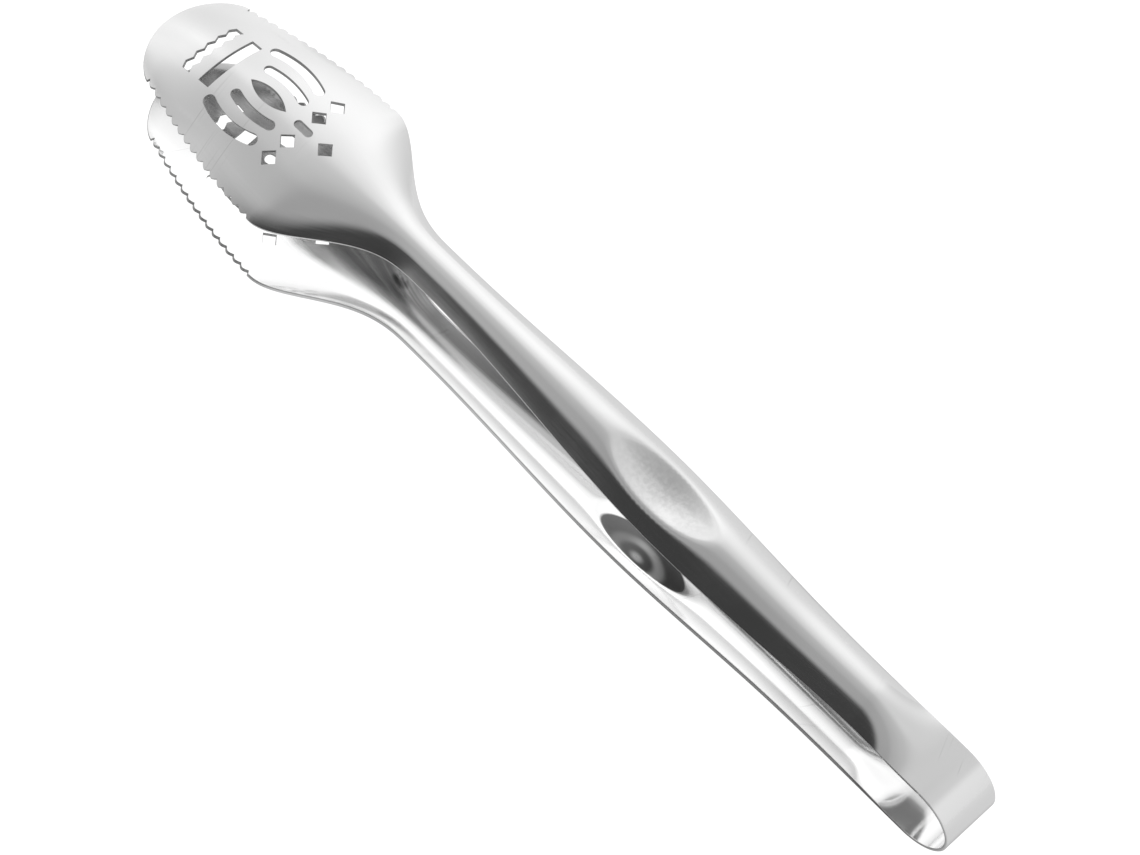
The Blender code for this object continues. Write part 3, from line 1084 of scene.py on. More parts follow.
@dataclass
class ArmBlank:
    """Flat blank of one arm: its outline, its drain holes and a fine net of points between them.

    Args:
        form: Form of the strip.
        holes: Outlines of the drain holes.
        notches: Points (x, inset) along a toothed side.
        grid: Distance between the points of the net.
        clearance: Share of that distance that the net keeps from the edges.
        side_spacing: Distance between the points along the plain part of a side.
        front_points: Number of spans round the front.
        end_points: Number of spans across the end at the bow.
        weld: Distance under which two points are one.
    """

    form: StripForm
    holes: list[Loop]
    notches: Points
    grid: float = 0.0010
    clearance: float = 0.6
    side_spacing: float = 0.0008
    front_points: int = 120
    end_points: int = 16
    weld: float = 0.0000013
    loops: list[Loop] = field(default_factory=list, init=False)
    insets: list[Loop] = field(default_factory=list, init=False)

    def side(self) -> Points:
        """Draw one side of the blank.

        Returns:
            Points x, y from the leaf to the front corner.
        """
        form = self.form
        leaf, teeth_start = form.leaf_start, self.notches[0, 0]
        xs = np.linspace(leaf, teeth_start, round((teeth_start - leaf) / self.side_spacing))[:-1]
        plain = np.stack([xs, np.zeros_like(xs)], axis=1)
        teeth = self.notches[self.notches[:, 0] < form.front_corner - form.edge_round]
        line = np.concatenate([plain, teeth, [[form.front_corner, 0.0]]])
        return np.stack([line[:, 0], form.half_width(line[:, 0]) - line[:, 1]], axis=1)

    def outline(self) -> Loop:
        """Draw the whole edge of the blank.

        Returns:
            Points x, y with the sheet on their left.
        """
        form = self.form
        side = self.side()
        turn = np.linspace(-math.pi / 2.0, math.pi / 2.0, self.front_points + 1)[1:-1]
        y = form.front_width / 2.0 * np.sin(turn)
        front = np.stack([form.front(y), y], axis=1)
        front = front[front[:, 0] > form.front_corner + form.edge_round]
        half = form.half_width(np.array([form.leaf_start]))[0]
        ys = np.linspace(half, -half, self.end_points + 1)[1:-1]
        end = np.stack([np.full_like(ys, form.leaf_start), ys], axis=1)
        return np.concatenate([side * (1.0, -1.0), front, side[::-1], end])

    def inset(self, loop: Loop) -> Loop:
        """Draw an outline in by the rounding of its edge, but not where the bow goes on.

        Args:
            loop: The outline.

        Returns:
            Edge of the flat face.
        """
        form = self.form
        drawn = loop - form.edge_round * outward(loop)
        at_bow = np.abs(loop[:, 0] - form.leaf_start) < self.weld
        drawn[at_bow, 0] = form.leaf_start
        half = form.half_width(np.array([form.leaf_start]))[0] - form.edge_round
        drawn[at_bow, 1] = np.clip(loop[at_bow, 1], -half, half)
        return drawn

    def net(self) -> Points:
        """Spread staggered points over the blank.

        Returns:
            Points x, y, clear of every edge.
        """
        form, step = self.form, self.grid
        xs = np.arange(form.leaf_start + step, form.tip, step * math.sqrt(3.0) / 2.0)
        half = form.shoulder_width / 2.0
        ys = np.arange(-half, half + step, step)
        rows = []
        for k, x in enumerate(xs):
            rows.append(np.stack([np.full_like(ys, x), ys + (step / 2.0) * (k % 2)], axis=1))
        points = self.on_sheet(np.concatenate(rows))[0]
        for loop in self.insets:
            points = points[away_from(points, loop, self.clearance * step)]
        return points

    def on_sheet(self, points: Points) -> tuple[Points, np.ndarray]:
        """Keep the points that lie inside the blank and in no hole.

        Args:
            points: Points x, y.

        Returns:
            The points that are kept, and True for each of them.
        """
        kept = inside(points, self.insets[0])
        for hole in self.insets[1:]:
            kept &= ~inside(points, hole)
        return points[kept], kept

    def triangles(self) -> tuple[Points, list[list[int]], list[list[int]]]:
        """Fill the blank with triangles.

        Returns:
            Points of the blank, its triangles, and the points' numbers round each outline.
        """
        self.loops = [self.outline(), *self.holes]
        self.insets = [self.inset(loop) for loop in self.loops]
        rings, edges, start = [], [], 0
        for loop in self.insets:
            ring = list(range(start, start + len(loop)))
            edges += list(zip(ring, ring[1:] + ring[:1]))
            rings.append(ring)
            start += len(loop)
        given = [Vector(point) for point in np.concatenate([*self.insets, self.net()])]
        vertices, _, faces, sources, _, _ = delaunay_2d_cdt(given, edges, [], 0, self.weld)
        number = {source: index for index, group in enumerate(sources) for source in group}
        rings = [[number[k] for k in ring] for ring in rings]
        points = np.array([vertex[:] for vertex in vertices])
        kept = self.on_sheet(points[np.array(faces)].mean(axis=1))[1]
        return points, [face for face, keep in zip(faces, kept) if keep], rings


@dataclass
class PressedArm:
    """One arm of the tongs: leaf, channel handle and scoop in one skin.

    The places along the strip are in its own frame. To the near side means the side towards the
    camera.

    Args:
        form: Form of the strip.
        blank: Blank of the arm.
        frame: Place of the tongs.
        neck_reach: How far from the neck the draw marks reach on the outer face.
        cup_shade_share: Darkness of the shade painted inside the scoop, behind its shoulders.
        cup_start: Span along the strip in which that darkness comes in.
        cup_end: Span along the lower arm in which it fades.
        cup_rim: Span of the upper arm's half width in which it fades, as a share.
        cup_lee: Span to the near side in which it fades on the lower arm.
        cup_lean: Slope of that fading behind the place where the trough starts to fade.
        pinch: Place of the darkest painted shade, in the lower neck.
        pinch_size: Half its length and half its width.
        trough_start: Span along the strip in which the satin inside the neck comes in.
        trough_end: Span in which it fades.
        trough_lee: Span to the near side in which it fades on the lower arm.
        edge_shade_span: Span along the strip in which shade is painted on the cut edges.
        edge_shade_share: How dark that painted shade gets.
    """

    form: StripForm
    blank: ArmBlank
    frame: TongsFrame
    neck_reach: float = 0.022
    cup_shade_share: float = 0.67
    cup_start: Span = (0.193, 0.208)
    cup_end: Span = (0.234, 0.250)
    cup_rim: Span = (0.75, 0.95)
    cup_lee: Span = (-0.0008, 0.0022)
    cup_lean: float = 0.2
    pinch: tuple[float, float] = (0.2125, -0.0062)
    pinch_size: tuple[float, float] = (0.0042, 0.0013)
    trough_start: Span = (0.135, 0.190)
    trough_end: Span = (0.225, 0.245)
    trough_lee: Span = (0.0020, 0.0060)
    edge_shade_span: Span = (0.228, 0.242)
    edge_shade_share: float = 0.65

    def mesh(self, side: Side) -> bpy.types.Mesh:
        """Press the blank and give the sheet its thickness and its rounded edges.

        Args:
            side: Which arm it is.

        Returns:
            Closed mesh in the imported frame.
        """
        form, blank = self.form, self.blank
        flat, faces, rings = blank.triangles()
        edge = np.concatenate(blank.loops)
        count = len(flat)
        points = np.concatenate(
            [
                form.pressed(flat, 0.0),
                form.pressed(flat, form.sheet),
                form.pressed(edge, form.edge_round),
                form.pressed(edge, form.sheet - form.edge_round),
            ]
        )
        under = [[index + count for index in reversed(face)] for face in faces]
        mesh = mesh_from(side.value + "_arm", points, faces + under + self.walls(rings, count))
        self.mark(mesh, np.concatenate([flat, flat, edge, edge]), count, side)
        face = form.normal(flat[:, 0], flat[:, 1])
        rim = self.rim_normals(edge)
        mesh.normals_split_custom_set_from_vertices(np.concatenate([face, -face, rim, rim]))
        mesh.transform(self.frame.side_matrix(side))
        return mesh

    def walls(self, rings: list[list[int]], count: int) -> list[list[int]]:
        """Close the sheet along its outline and round every hole.

        Args:
            rings: Numbers of the outer face's points round each outline.
            count: Number of points in each face of the sheet.

        Returns:
            Faces from the outer face over the rounded edge to the inner face.
        """
        total = sum(len(ring) for ring in rings)
        faces, start = [], 2 * count
        for ring in rings:
            size = len(ring)
            top = [start + k for k in range(size)]
            bottom = [start + total + k for k in range(size)]
            under = [index + count for index in ring]
            for low, high in ((top, ring), (bottom, top), (under, bottom)):
                for k in range(size):
                    after = (k + 1) % size
                    faces.append([low[k], low[after], high[after], high[k]])
            start += size
        return faces

    def rim_normals(self, edge: Points) -> Points:
        """Find which way the cut edges look.

        Args:
            edge: Points x, y along all outlines of the blank.

        Returns:
            Unit normals that point out of the sheet along its face.
        """
        normal = self.form.normal(edge[:, 0], edge[:, 1])
        out = np.concatenate([outward(loop) for loop in self.blank.loops])
        slope = -normal[:, :2] / normal[:, 2:]
        rim = np.column_stack([out, np.sum(slope * out, axis=1)])
        return rim / np.linalg.norm(rim, axis=1, keepdims=True)

    def cup_shade(self, x: Points, y: Points, side: Side) -> Points:
        """Find where shade is painted inside the scoop.

        Args:
            x: Places along the strip.
            y: Places across the blank.
            side: Which arm it is.

        Returns:
            Shares, in which the painted shade of the lower neck counts for more than one.
        """
        cup_shade = Step(*self.cup_start).at(x)
        if side is Side.UPPER:
            return cup_shade * (1.0 - Step(*self.cup_rim).at(np.abs(y) / self.form.half_width(x)))
        lee = self.cup_lean * np.maximum(self.trough_end[0] - x, 0.0) - y
        cup_shade *= (1.0 - Step(*self.cup_lee).at(lee)) * (1.0 - Step(*self.cup_end).at(x))
        away = (np.stack([x, -y], axis=1) - self.pinch) / self.pinch_size
        return np.maximum(cup_shade, np.exp(-np.sum(away**4, axis=1)) / self.cup_shade_share)

    def trough(self, x: Points, y: Points, side: Side) -> Points:
        """Find where the inside of the neck is satin.

        Args:
            x: Places along the strip.
            y: Places across the blank.
            side: Which arm it is.

        Returns:
            Shares.
        """
        trough = Step(*self.trough_start).at(x) * (1.0 - Step(*self.trough_end).at(x))
        if side is Side.LOWER:
            trough *= 1.0 - Step(*self.trough_lee).at(-y)
        return trough

    def mark(self, mesh: bpy.types.Mesh, flat: Points, count: int, side: Side) -> None:
        """Store where each point lies along and across the strip, which finish it has and how much
        shade is painted on it.

        Args:
            mesh: Mesh of the arm.
            flat: Blank's x, y for each point of the mesh.
            count: Number of points in each face of the sheet.
            side: Which arm it is.
        """
        form = self.form
        x, y = flat[:, 0], flat[:, 1]
        number = np.arange(len(flat))
        inner = (number >= count) & (number < 2 * count)
        edge = (number >= 2 * count).astype(float)
        across = side.sign * y * form.bow_width / 2.0 / form.half_width(x)
        dimple = np.clip(form.dimple(x, y), 0.0, 1.0) * ~inner
        narrow = form.on_handle(form.narrow_share)
        neck = np.exp(-(((x - narrow) / self.neck_reach) ** 2))
        neck = np.where(inner, self.trough(x, y, side), neck)
        # Shade painted on the cut edges of the scoop.
        edge_shade = edge * Step(*self.edge_shade_span).at(x) * self.edge_shade_share
        store_vector(mesh, PLACE_ATTRIBUTE, [side.sign * form.along(x), across, inner])
        store_vector(mesh, FINISH_ATTRIBUTE, [dimple, edge, neck])
        # Painted shade: darker inside the scoop, in the lower neck and on the scoop's cut edges.
        store_number(mesh, PAINTED_SHADE_ATTRIBUTE, self.cup_shade(x, y, side) * self.cup_shade_share * inner + edge_shade)

    def build(self, side: Side, steel: bpy.types.Material) -> bpy.types.Object:
        """Make the arm and let it ride on its body.

        Args:
            side: Which arm it is.
            steel: Material of the tongs.

        Returns:
            The finished piece.
        """
        mesh = self.mesh(side)
        mesh.materials.append(steel)
        name = side.value
        piece = add_object(name + "_arm_strip", mesh)
        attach(piece, name + "_arm")
        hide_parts(name + "_leaf", name + "_handle", name + "_head")
        return piece


@dataclass
class SweptBow:
    """The bow: the strip bent round a half circle, which is the tongs' spring.

    Args:
        form: Form of the strip.
        frame: Place of the tongs.
        steps: Points along each half.
        sharp_degrees: Angle between faces from which their edge is sharp.
        flat_weight: How much more the large faces count in the smoothed light.
    """

    form: StripForm
    frame: TongsFrame
    steps: int = 60
    sharp_degrees: float = 62.0
    flat_weight: int = 100

    def mesh(self, side: Side, steel: bpy.types.Material) -> bpy.types.Mesh:
        """Sweep the strip's cross-section from an arm to the back of the bow with geometry nodes.

        Args:
            side: Which half of the bow it is.
            steel: Material of the tongs.

        Returns:
            Closed mesh in the tongs' own frame, on the upper arm.
        """
        form = self.form
        sizes = {
            "Radius": form.bow_radius - form.sheet / 2.0,
            "Width": form.bow_width,
            "Sheet": form.sheet,
            "Edge round": form.edge_round,
            "Steps": self.steps,
        }
        tree = ShapeTree("swept_bow", sizes)
        arc = tree.add(
            "GeometryNodeCurveArc",
            {
                "Resolution": tree.inputs["Steps"],
                "Radius": tree.inputs["Radius"],
                "Start Angle": math.pi / 2.0,
                "Sweep Angle": math.pi / 2.0,
            },
        )
        section = tree.add(
            "GeometryNodeCurvePrimitiveQuadrilateral",
            {"Width": tree.inputs["Sheet"], "Height": tree.inputs["Width"]},
        )
        eased = tree.add(
            "GeometryNodeFilletCurve",
            {"Curve": section.outputs[0], "Radius": tree.inputs["Edge round"], "Count": 1},
            mode="POLY",
        )
        swept = tree.add(
            "GeometryNodeCurveToMesh",
            {"Curve": arc.outputs[0], "Profile Curve": eased.outputs[0], "Fill Caps": True},
        )
        mesh = tree.plain_mesh(side.value + "_bow_half", swept.outputs[0], steel)
        mesh.transform(Matrix.Rotation(math.pi / 2.0, 4, "X"))
        mesh.transform(Matrix.Translation((form.bow_radius, 0.0, 0.0)))
        return mesh

    def mark(self, mesh: bpy.types.Mesh, side: Side) -> None:
        """Store where each point lies along and across the strip, and which finish it has.

        Args:
            mesh: Mesh of the half bow.
            side: Which half it is.
        """
        form = self.form
        x, y, z = places_of(mesh).T
        angle = np.arctan2(z, form.bow_radius - x)
        reach = np.hypot(z, form.bow_radius - x)
        inner = reach < form.bow_radius - form.sheet / 2.0
        edge = np.abs(y) > form.bow_width / 2.0 - form.edge_round / 2.0
        along = side.sign * angle * form.bow_radius
        none = np.zeros_like(x)
        store_vector(mesh, PLACE_ATTRIBUTE, [along, y * side.sign, inner])
        store_vector(mesh, FINISH_ATTRIBUTE, [none, edge, none])
        store_number(mesh, PAINTED_SHADE_ATTRIBUTE, none)

    def build(self, side: Side, steel: bpy.types.Material) -> bpy.types.Object:
        """Make half of the bow.

        Args:
            side: Which half it is.
            steel: Material of the tongs.

        Returns:
            The finished piece.
        """
        place = self.frame.side_matrix(side)
        mesh = self.mesh(side, steel)
        self.mark(mesh, side)
        mesh.shade_smooth()
        mesh.set_sharp_from_angle(angle=math.radians(self.sharp_degrees))
        mesh.transform(place)
        piece = add_object("bow_" + side.value + "_half", mesh)
        even = piece.modifiers.new("even_normals", "WEIGHTED_NORMAL")
        even.keep_sharp = True
        even.weight = self.flat_weight
        if side is Side.LOWER:
            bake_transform(piece)
        else:
            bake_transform(piece)
        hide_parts("bow")
        return piece


@dataclass(frozen=True)
class DrawnNoise:
    """Shader group: noise drawn out along the strip, as rolling, pressing and polishing leave it.

    Args:
        name: Name of the group.
        numbers: Names of its inputs besides the place on the strip.
        detail: How many times the noise is folded in at half the size.
    """

    name: str = "drawn_noise"
    numbers: tuple[str, ...] = ("Turn", "Scale", "Draw", "Low", "High")
    detail: float = 3.0

    def group(self) -> bpy.types.NodeTree:
        """Build the group, or give it if it is there.

        Returns:
            Group with inputs Place, Turn, Scale, Draw, Low and High, and the output Value.
        """
        if self.name in bpy.data.node_groups:
            return bpy.data.node_groups[self.name]
        wiring = Wiring(bpy.data.node_groups.new(self.name, "ShaderNodeTree"))
        sockets = wiring.tree.interface
        sockets.new_socket("Place", in_out="INPUT", socket_type="NodeSocketVector")
        for number in self.numbers:
            sockets.new_socket(number, in_out="INPUT", socket_type="NodeSocketFloat")
        sockets.new_socket("Value", in_out="OUTPUT", socket_type="NodeSocketFloat")
        given = wiring.add("NodeGroupInput").outputs
        turning = {"Vector": given["Place"], "Axis": wiring.vector(z=1.0), "Angle": given["Turn"]}
        turned = wiring.add("ShaderNodeVectorRotate", turning).outputs[0]
        along, across, face = wiring.apart(turned)
        drawn = wiring.vector(wiring.over(along, given["Draw"]), across, face)
        noise = wiring.add(
            "ShaderNodeTexNoise", {"Vector": drawn, "Scale": given["Scale"], "Detail": self.detail}
        )
        value = wiring.eased(noise.outputs[0], given["Low"], given["High"])
        wiring.add("NodeGroupOutput", {0: value})
        return wiring.tree


@dataclass(frozen=True)
class Grain:
    """One pattern in the steel.

    Args:
        scale: Features per metre across the strip.
        draw: How many times longer than wide they are.
        low: Noise value where the pattern starts.
        high: Noise value where it is full.
        turn: Angle between the pattern and the strip.
    """

    scale: float
    draw: float
    low: float
    high: float
    turn: float = 0.0

    def value(self, wiring: Wiring, place: Socket) -> Socket:
        """Add the pattern to a material.

        Args:
            wiring: The material's tree.
            place: Place on the strip.

        Returns:
            Strength of the pattern.
        """
        noise = DrawnNoise()
        node = wiring.add("ShaderNodeGroup", node_tree=noise.group())
        wiring.plug(place, node.inputs["Place"])
        for name in noise.numbers:
            wiring.plug(getattr(self, name.lower()), node.inputs[name])
        return node.outputs[0]


@dataclass(frozen=True)
class PaintedDimpleReflection:
    """Painted dark reflection of the other arm: an oval on the back of the thumb dimple, with
    lighter rings painted in it.

    Args:
        place: Distance of its middle along the strip.
        aside: Distance of its middle from the strip's middle line.
        size: Half its length and half its width.
        edge: Softness of its edge.
        ring_middle: Middle of the rings along and across the strip, from the middle of the oval.
        ring_size: Half length and half width of a ring of size one.
        pitch: Distance between the rings, as a share of that size.
        ring_end: Span in which the rings fade out.
        depth: How much brighter the rings are.
        weakens: Span to the tips' side in which the rings get weaker.
        weaker: Share that is then left of them.
        lifts: Span to the tips' side in which the oval gets brighter.
        lift: How much brighter it then is.
    """

    place: float
    aside: float = 0.0019
    size: tuple[float, float] = (0.0156, 0.0035)
    edge: float = 0.08
    ring_middle: tuple[float, float] = (-0.0001, 0.0037)
    ring_size: tuple[float, float] = (0.0150, 0.0054)
    pitch: float = 0.50
    ring_end: Span = (0.45, 0.80)
    depth: float = 0.42
    weakens: Span = (0.0, 0.4)
    weaker: float = 0.35
    lifts: Span = (-0.4, 0.3)
    lift: float = 0.10

    def value(self, wiring: Wiring, place: Socket) -> Socket:
        """Add the painted reflection to a material.

        Args:
            wiring: The material's tree.
            place: Place on the strip.

        Returns:
            Strength of the mark.
        """
        along, across, inner = wiring.apart(place)
        along = wiring.less(wiring.math("ABSOLUTE", along), self.place)
        off = wiring.less(across, self.aside)
        reach = wiring.length(wiring.over(along, self.size[0]), wiring.over(off, self.size[1]))
        oval = wiring.times(wiring.eased(reach, 1.0 - self.edge, 1.0, 1.0, 0.0), inner)
        u = wiring.over(wiring.less(along, self.ring_middle[0]), self.ring_size[0])
        v = wiring.over(wiring.less(across, self.ring_middle[1]), self.ring_size[1])
        reach = wiring.length(u, v)
        wave = wiring.math("COSINE", wiring.times(reach, 2.0 * math.pi / self.pitch))
        ring = wiring.times(wiring.eased(wave, -1.0, 1.0), self.depth)
        ring = wiring.times(ring, wiring.eased(reach, *self.ring_end, 1.0, 0.0))
        ring = wiring.times(ring, wiring.eased(u, *self.weakens, 1.0, self.weaker))
        ring = wiring.math("ADD", ring, wiring.eased(u, *self.lifts, 0.0, self.lift))
        return wiring.times(oval, wiring.less(1.0, ring))


@dataclass(frozen=True)
class SteelMasks:
    """Strength of each finish and pattern at a place on the steel.

    Args:
        inside: Inner faces.
        dimple: Thumb dimple.
        edge: Sheared edges.
        neck: Draw marks of the neck on the outer faces, and satin inside it.
        painted_shade_and_grain: Shade painted inside the scoops and on their cut edges, streaked by
            the draw marks, with the painted reflection.
        mark: Dark reflection painted behind the thumb dimple, for camera rays only.
        rolled: Fine rolling lines.
        clouds: Cloudy wear of the polish.
        hairlines: Single long hairlines.
        mottle: Grain in the thumb dimple.
        drawn: Draw marks.
        scuffs: Scratches.
    """

    inside: Socket
    dimple: Socket
    edge: Socket
    neck: Socket
    painted_shade_and_grain: Socket
    mark: Socket
    rolled: Socket
    clouds: Socket
    hairlines: Socket
    mottle: Socket
    drawn: Socket
    scuffs: Socket


@dataclass(frozen=True)
class PressedSteel:
    """Finish of bright rolled and pressed stainless steel, all of it grey.

    Args:
        name: Name of the material.
        bright: Brightness of the polished outer faces.
        inner: Brightness of the polished inner faces, painted lighter than the outer faces of the
            same steel as painted light.
        painted_shade_and_grain: Brightness of the painted shade and the painted reflection, which
            the grain in the thumb dimple and the scratches also darken towards.
        dull: Brightness of the sheared edges.
        gloss: Roughness of the polished faces.
        satin: Roughness inside the thumb dimple.
        sheared: Roughness of the sheared edges.
        trough: Roughness inside the neck.
        marked: Roughness where the dark reflection is painted behind the thumb dimple.
        grain_rough: How much the rolling lines change the roughness.
        cloud_rough: How much rougher worn clouds are.
        streaks: Darkness of the painted shade between and in the draw marks.
        mottle_tone: Darkness of the grain in the thumb dimple.
        scuff_tone: Darkness of the scratches.
        rolled: Pattern of the rolling lines.
        clouds: Pattern of the worn clouds.
        hairlines: Pattern of the hairlines.
        mottle: Pattern of the grain in the thumb dimple.
        draw_marks: Pattern of the draw marks in the neck and in the painted shade.
        scuffs: Pattern of the scratches, which run slanting over the strip.
        worn: Patches in which the scratches lie.
        relief: Height of a hairline.
        rolled_relief: Height of the rolling lines, in hairlines.
        scuff_relief: Height of the scratches, in hairlines.
        mottle_relief: Height of the grain in the thumb dimple, in hairlines.
        drawn_relief: Height of the draw marks, in hairlines.
    """

    name: str = "pressed_steel"
    bright: float = 0.80
    inner: float = 0.96
    painted_shade_and_grain: float = 0.10
    dull: float = 0.75
    gloss: float = 0.13
    satin: float = 0.20
    sheared: float = 0.36
    trough: float = 0.25
    marked: float = 0.42
    grain_rough: float = 0.03
    cloud_rough: float = 0.06
    streaks: tuple[float, float] = (0.85, 1.1)
    mottle_tone: float = 0.12
    scuff_tone: float = 0.13
    rolled: Grain = Grain(5200.0, 60.0, 0.30, 0.70)
    clouds: Grain = Grain(60.0, 1.6, 0.42, 0.75)
    hairlines: Grain = Grain(2600.0, 220.0, 0.66, 0.74)
    mottle: Grain = Grain(900.0, 1.3, 0.35, 0.65)
    draw_marks: Grain = Grain(1600.0, 80.0, 0.35, 0.65)
    scuffs: Grain = Grain(1100.0, 32.0, 0.65, 0.70, 1.15)
    worn: Grain = Grain(45.0, 1.0, 0.48, 0.60)
    relief: float = 0.0000006
    rolled_relief: float = 0.25
    scuff_relief: float = 4.0
    mottle_relief: float = 18.0
    drawn_relief: float = 8.0

    def masks(self, wiring: Wiring, form: StripForm) -> SteelMasks:
        """Read the finishes and the painted shade that the strip carries, and add the patterns and
        the painted reflection.

        Args:
            wiring: The material's tree.
            form: Form of the strip.

        Returns:
            All masks of the steel.
        """
        read = [
            wiring.add("ShaderNodeAttribute", attribute_name=name).outputs
            for name in (PLACE_ATTRIBUTE, FINISH_ATTRIBUTE, PAINTED_SHADE_ATTRIBUTE)
        ]
        place, finish, painted_shade_and_grain = read[0]["Vector"], read[1]["Vector"], read[2]["Fac"]
        dimple, edge, neck = wiring.apart(finish)
        drawn = self.draw_marks.value(wiring, place)
        # Dark reflection of the other arm, painted on the back of the thumb dimple for camera rays
        # only.
        mark = PaintedDimpleReflection(form.along(form.dimple_middle)).value(wiring, place)
        mark = wiring.times(mark, wiring.camera_ray())
        painted_shade_and_grain = wiring.times(painted_shade_and_grain, wiring.between(drawn, *self.streaks))
        return SteelMasks(
            inside=wiring.apart(place)[2],
            dimple=dimple,
            edge=edge,
            neck=neck,
            painted_shade_and_grain=wiring.math("MAXIMUM", painted_shade_and_grain, mark),
            mark=mark,
            rolled=self.rolled.value(wiring, place),
            clouds=self.clouds.value(wiring, place),
            hairlines=self.hairlines.value(wiring, place),
            mottle=wiring.times(self.mottle.value(wiring, place), dimple),
            drawn=drawn,
            scuffs=wiring.times(self.scuffs.value(wiring, place), self.worn.value(wiring, place)),
        )

    def roughness(self, wiring: Wiring, masks: SteelMasks) -> Socket:
        """Work out how rough the steel is.

        Args:
            wiring: The material's tree.
            masks: Masks of the steel.

        Returns:
            Roughness.
        """
        smooth, coarse = self.gloss - self.grain_rough, self.gloss + self.grain_rough
        rough = wiring.between(masks.rolled, smooth, coarse)
        rough = wiring.math("MULTIPLY_ADD", masks.clouds, self.cloud_rough, rough)
        for share, there in (
            (masks.dimple, self.satin),
            (wiring.times(masks.neck, masks.inside), self.trough),
            (masks.edge, self.sheared),
            (masks.mark, self.marked),
        ):
            rough = wiring.between(share, rough, there)
        return rough

    def colour(self, wiring: Wiring, masks: SteelMasks) -> Socket:
        """Work out how bright the steel is.

        Args:
            wiring: The material's tree.
            masks: Masks of the steel.

        Returns:
            Colour.
        """
        # Painted light: the inner faces are lighter than the outer faces of the same steel.
        colour = wiring.tinted(masks.inside, grey(self.bright), grey(self.inner))
        for share, there in (
            (wiring.times(masks.mottle, self.mottle_tone), self.painted_shade_and_grain),
            (wiring.times(masks.scuffs, self.scuff_tone), self.painted_shade_and_grain),
            (masks.edge, self.dull),
            # Painted shade and painted reflection.
            (masks.painted_shade_and_grain, self.painted_shade_and_grain),
        ):
            colour = wiring.tinted(share, colour, grey(there))
        return colour

    def normal(self, wiring: Wiring, masks: SteelMasks) -> Socket:
        """Raise the patterns a little.

        Args:
            wiring: The material's tree.
            masks: Masks of the steel.

        Returns:
            Normal.
        """
        height = masks.hairlines
        for share, relief in (
            (masks.rolled, self.rolled_relief),
            (masks.scuffs, self.scuff_relief),
            (masks.mottle, self.mottle_relief),
            (wiring.times(masks.drawn, masks.neck), self.drawn_relief),
        ):
            height = wiring.math("MULTIPLY_ADD", share, relief, height)
        values = {"Height": height, "Strength": 1.0, "Distance": self.relief}
        return wiring.add("ShaderNodeBump", values).outputs[0]

    def material(self, form: StripForm) -> bpy.types.Material:
        """Build the material.

        Args:
            form: Form of the strip it is for.

        Returns:
            Material whose patterns follow the strip round its bends.
        """
        material = bpy.data.materials.new(self.name)
        material.use_nodes = True
        inputs = material.node_tree.nodes["Principled BSDF"].inputs
        wiring = Wiring(material.node_tree)
        masks = self.masks(wiring, form)
        wiring.plug(1.0, inputs["Metallic"])
        wiring.plug(self.colour(wiring, masks), inputs["Base Color"])
        wiring.plug(self.roughness(wiring, masks), inputs["Roughness"])
        wiring.plug(self.normal(wiring, masks), inputs["Normal"])
        return material


def graded(wiring: Wiring, angle: Socket, grades: Sequence[tuple[float, float]]) -> Socket:
    """Brightness that follows a list of grades.

    Args:
        wiring: Tree to add the nodes to.
        angle: Angle in degrees.
        grades: Pairs of angle and brightness, in order.

    Returns:
        Brightness at the angle.
    """
    first, last = grades[0][0], grades[-1][0]
    top = max(value for _, value in grades)
    share = wiring.eased(angle, first, last)
    share.node.interpolation_type = "LINEAR"
    ramp = wiring.add("ShaderNodeValToRGB", {0: share})
    ramp.color_ramp.interpolation = "EASE"
    stops = ramp.color_ramp.elements
    for place, value in grades:
        share_there = (place - first) / (last - first)
        ends = {0.0: 0, 1.0: len(stops) - 1}
        stop = stops[ends[share_there]] if share_there in ends else stops.new(share_there)
        stop.color = grey(value / top)
    return wiring.times(ramp.outputs[0], top)


@dataclass(frozen=True)
class SoftBox:
    """Bright panel or dark opening of the tent, with soft edges.

    Args:
        brightness: Light it adds in its middle, or share it takes away.
        near: Angles to the near side where it starts, is full, starts to fade and ends.
        tips: The same angles to the tips' side.
    """

    brightness: float
    near: tuple[float, float, float, float]
    tips: tuple[float, float, float, float]

    def light(self, wiring: Wiring, to_near: Socket, to_tips: Socket) -> Socket:
        """Add the panel to the room.

        Args:
            wiring: Tree of the room's light.
            to_near: Lean of a direction to the near side, in degrees.
            to_tips: Its lean to the tips' side, in degrees.

        Returns:
            Light of the panel in that direction.
        """
        light = self.brightness
        for angle, (start, full, fades, end) in ((to_near, self.near), (to_tips, self.tips)):
            light = wiring.times(wiring.eased(angle, start, full), light)
            light = wiring.times(wiring.eased(angle, fades, end, 1.0, 0.0), light)
        return light


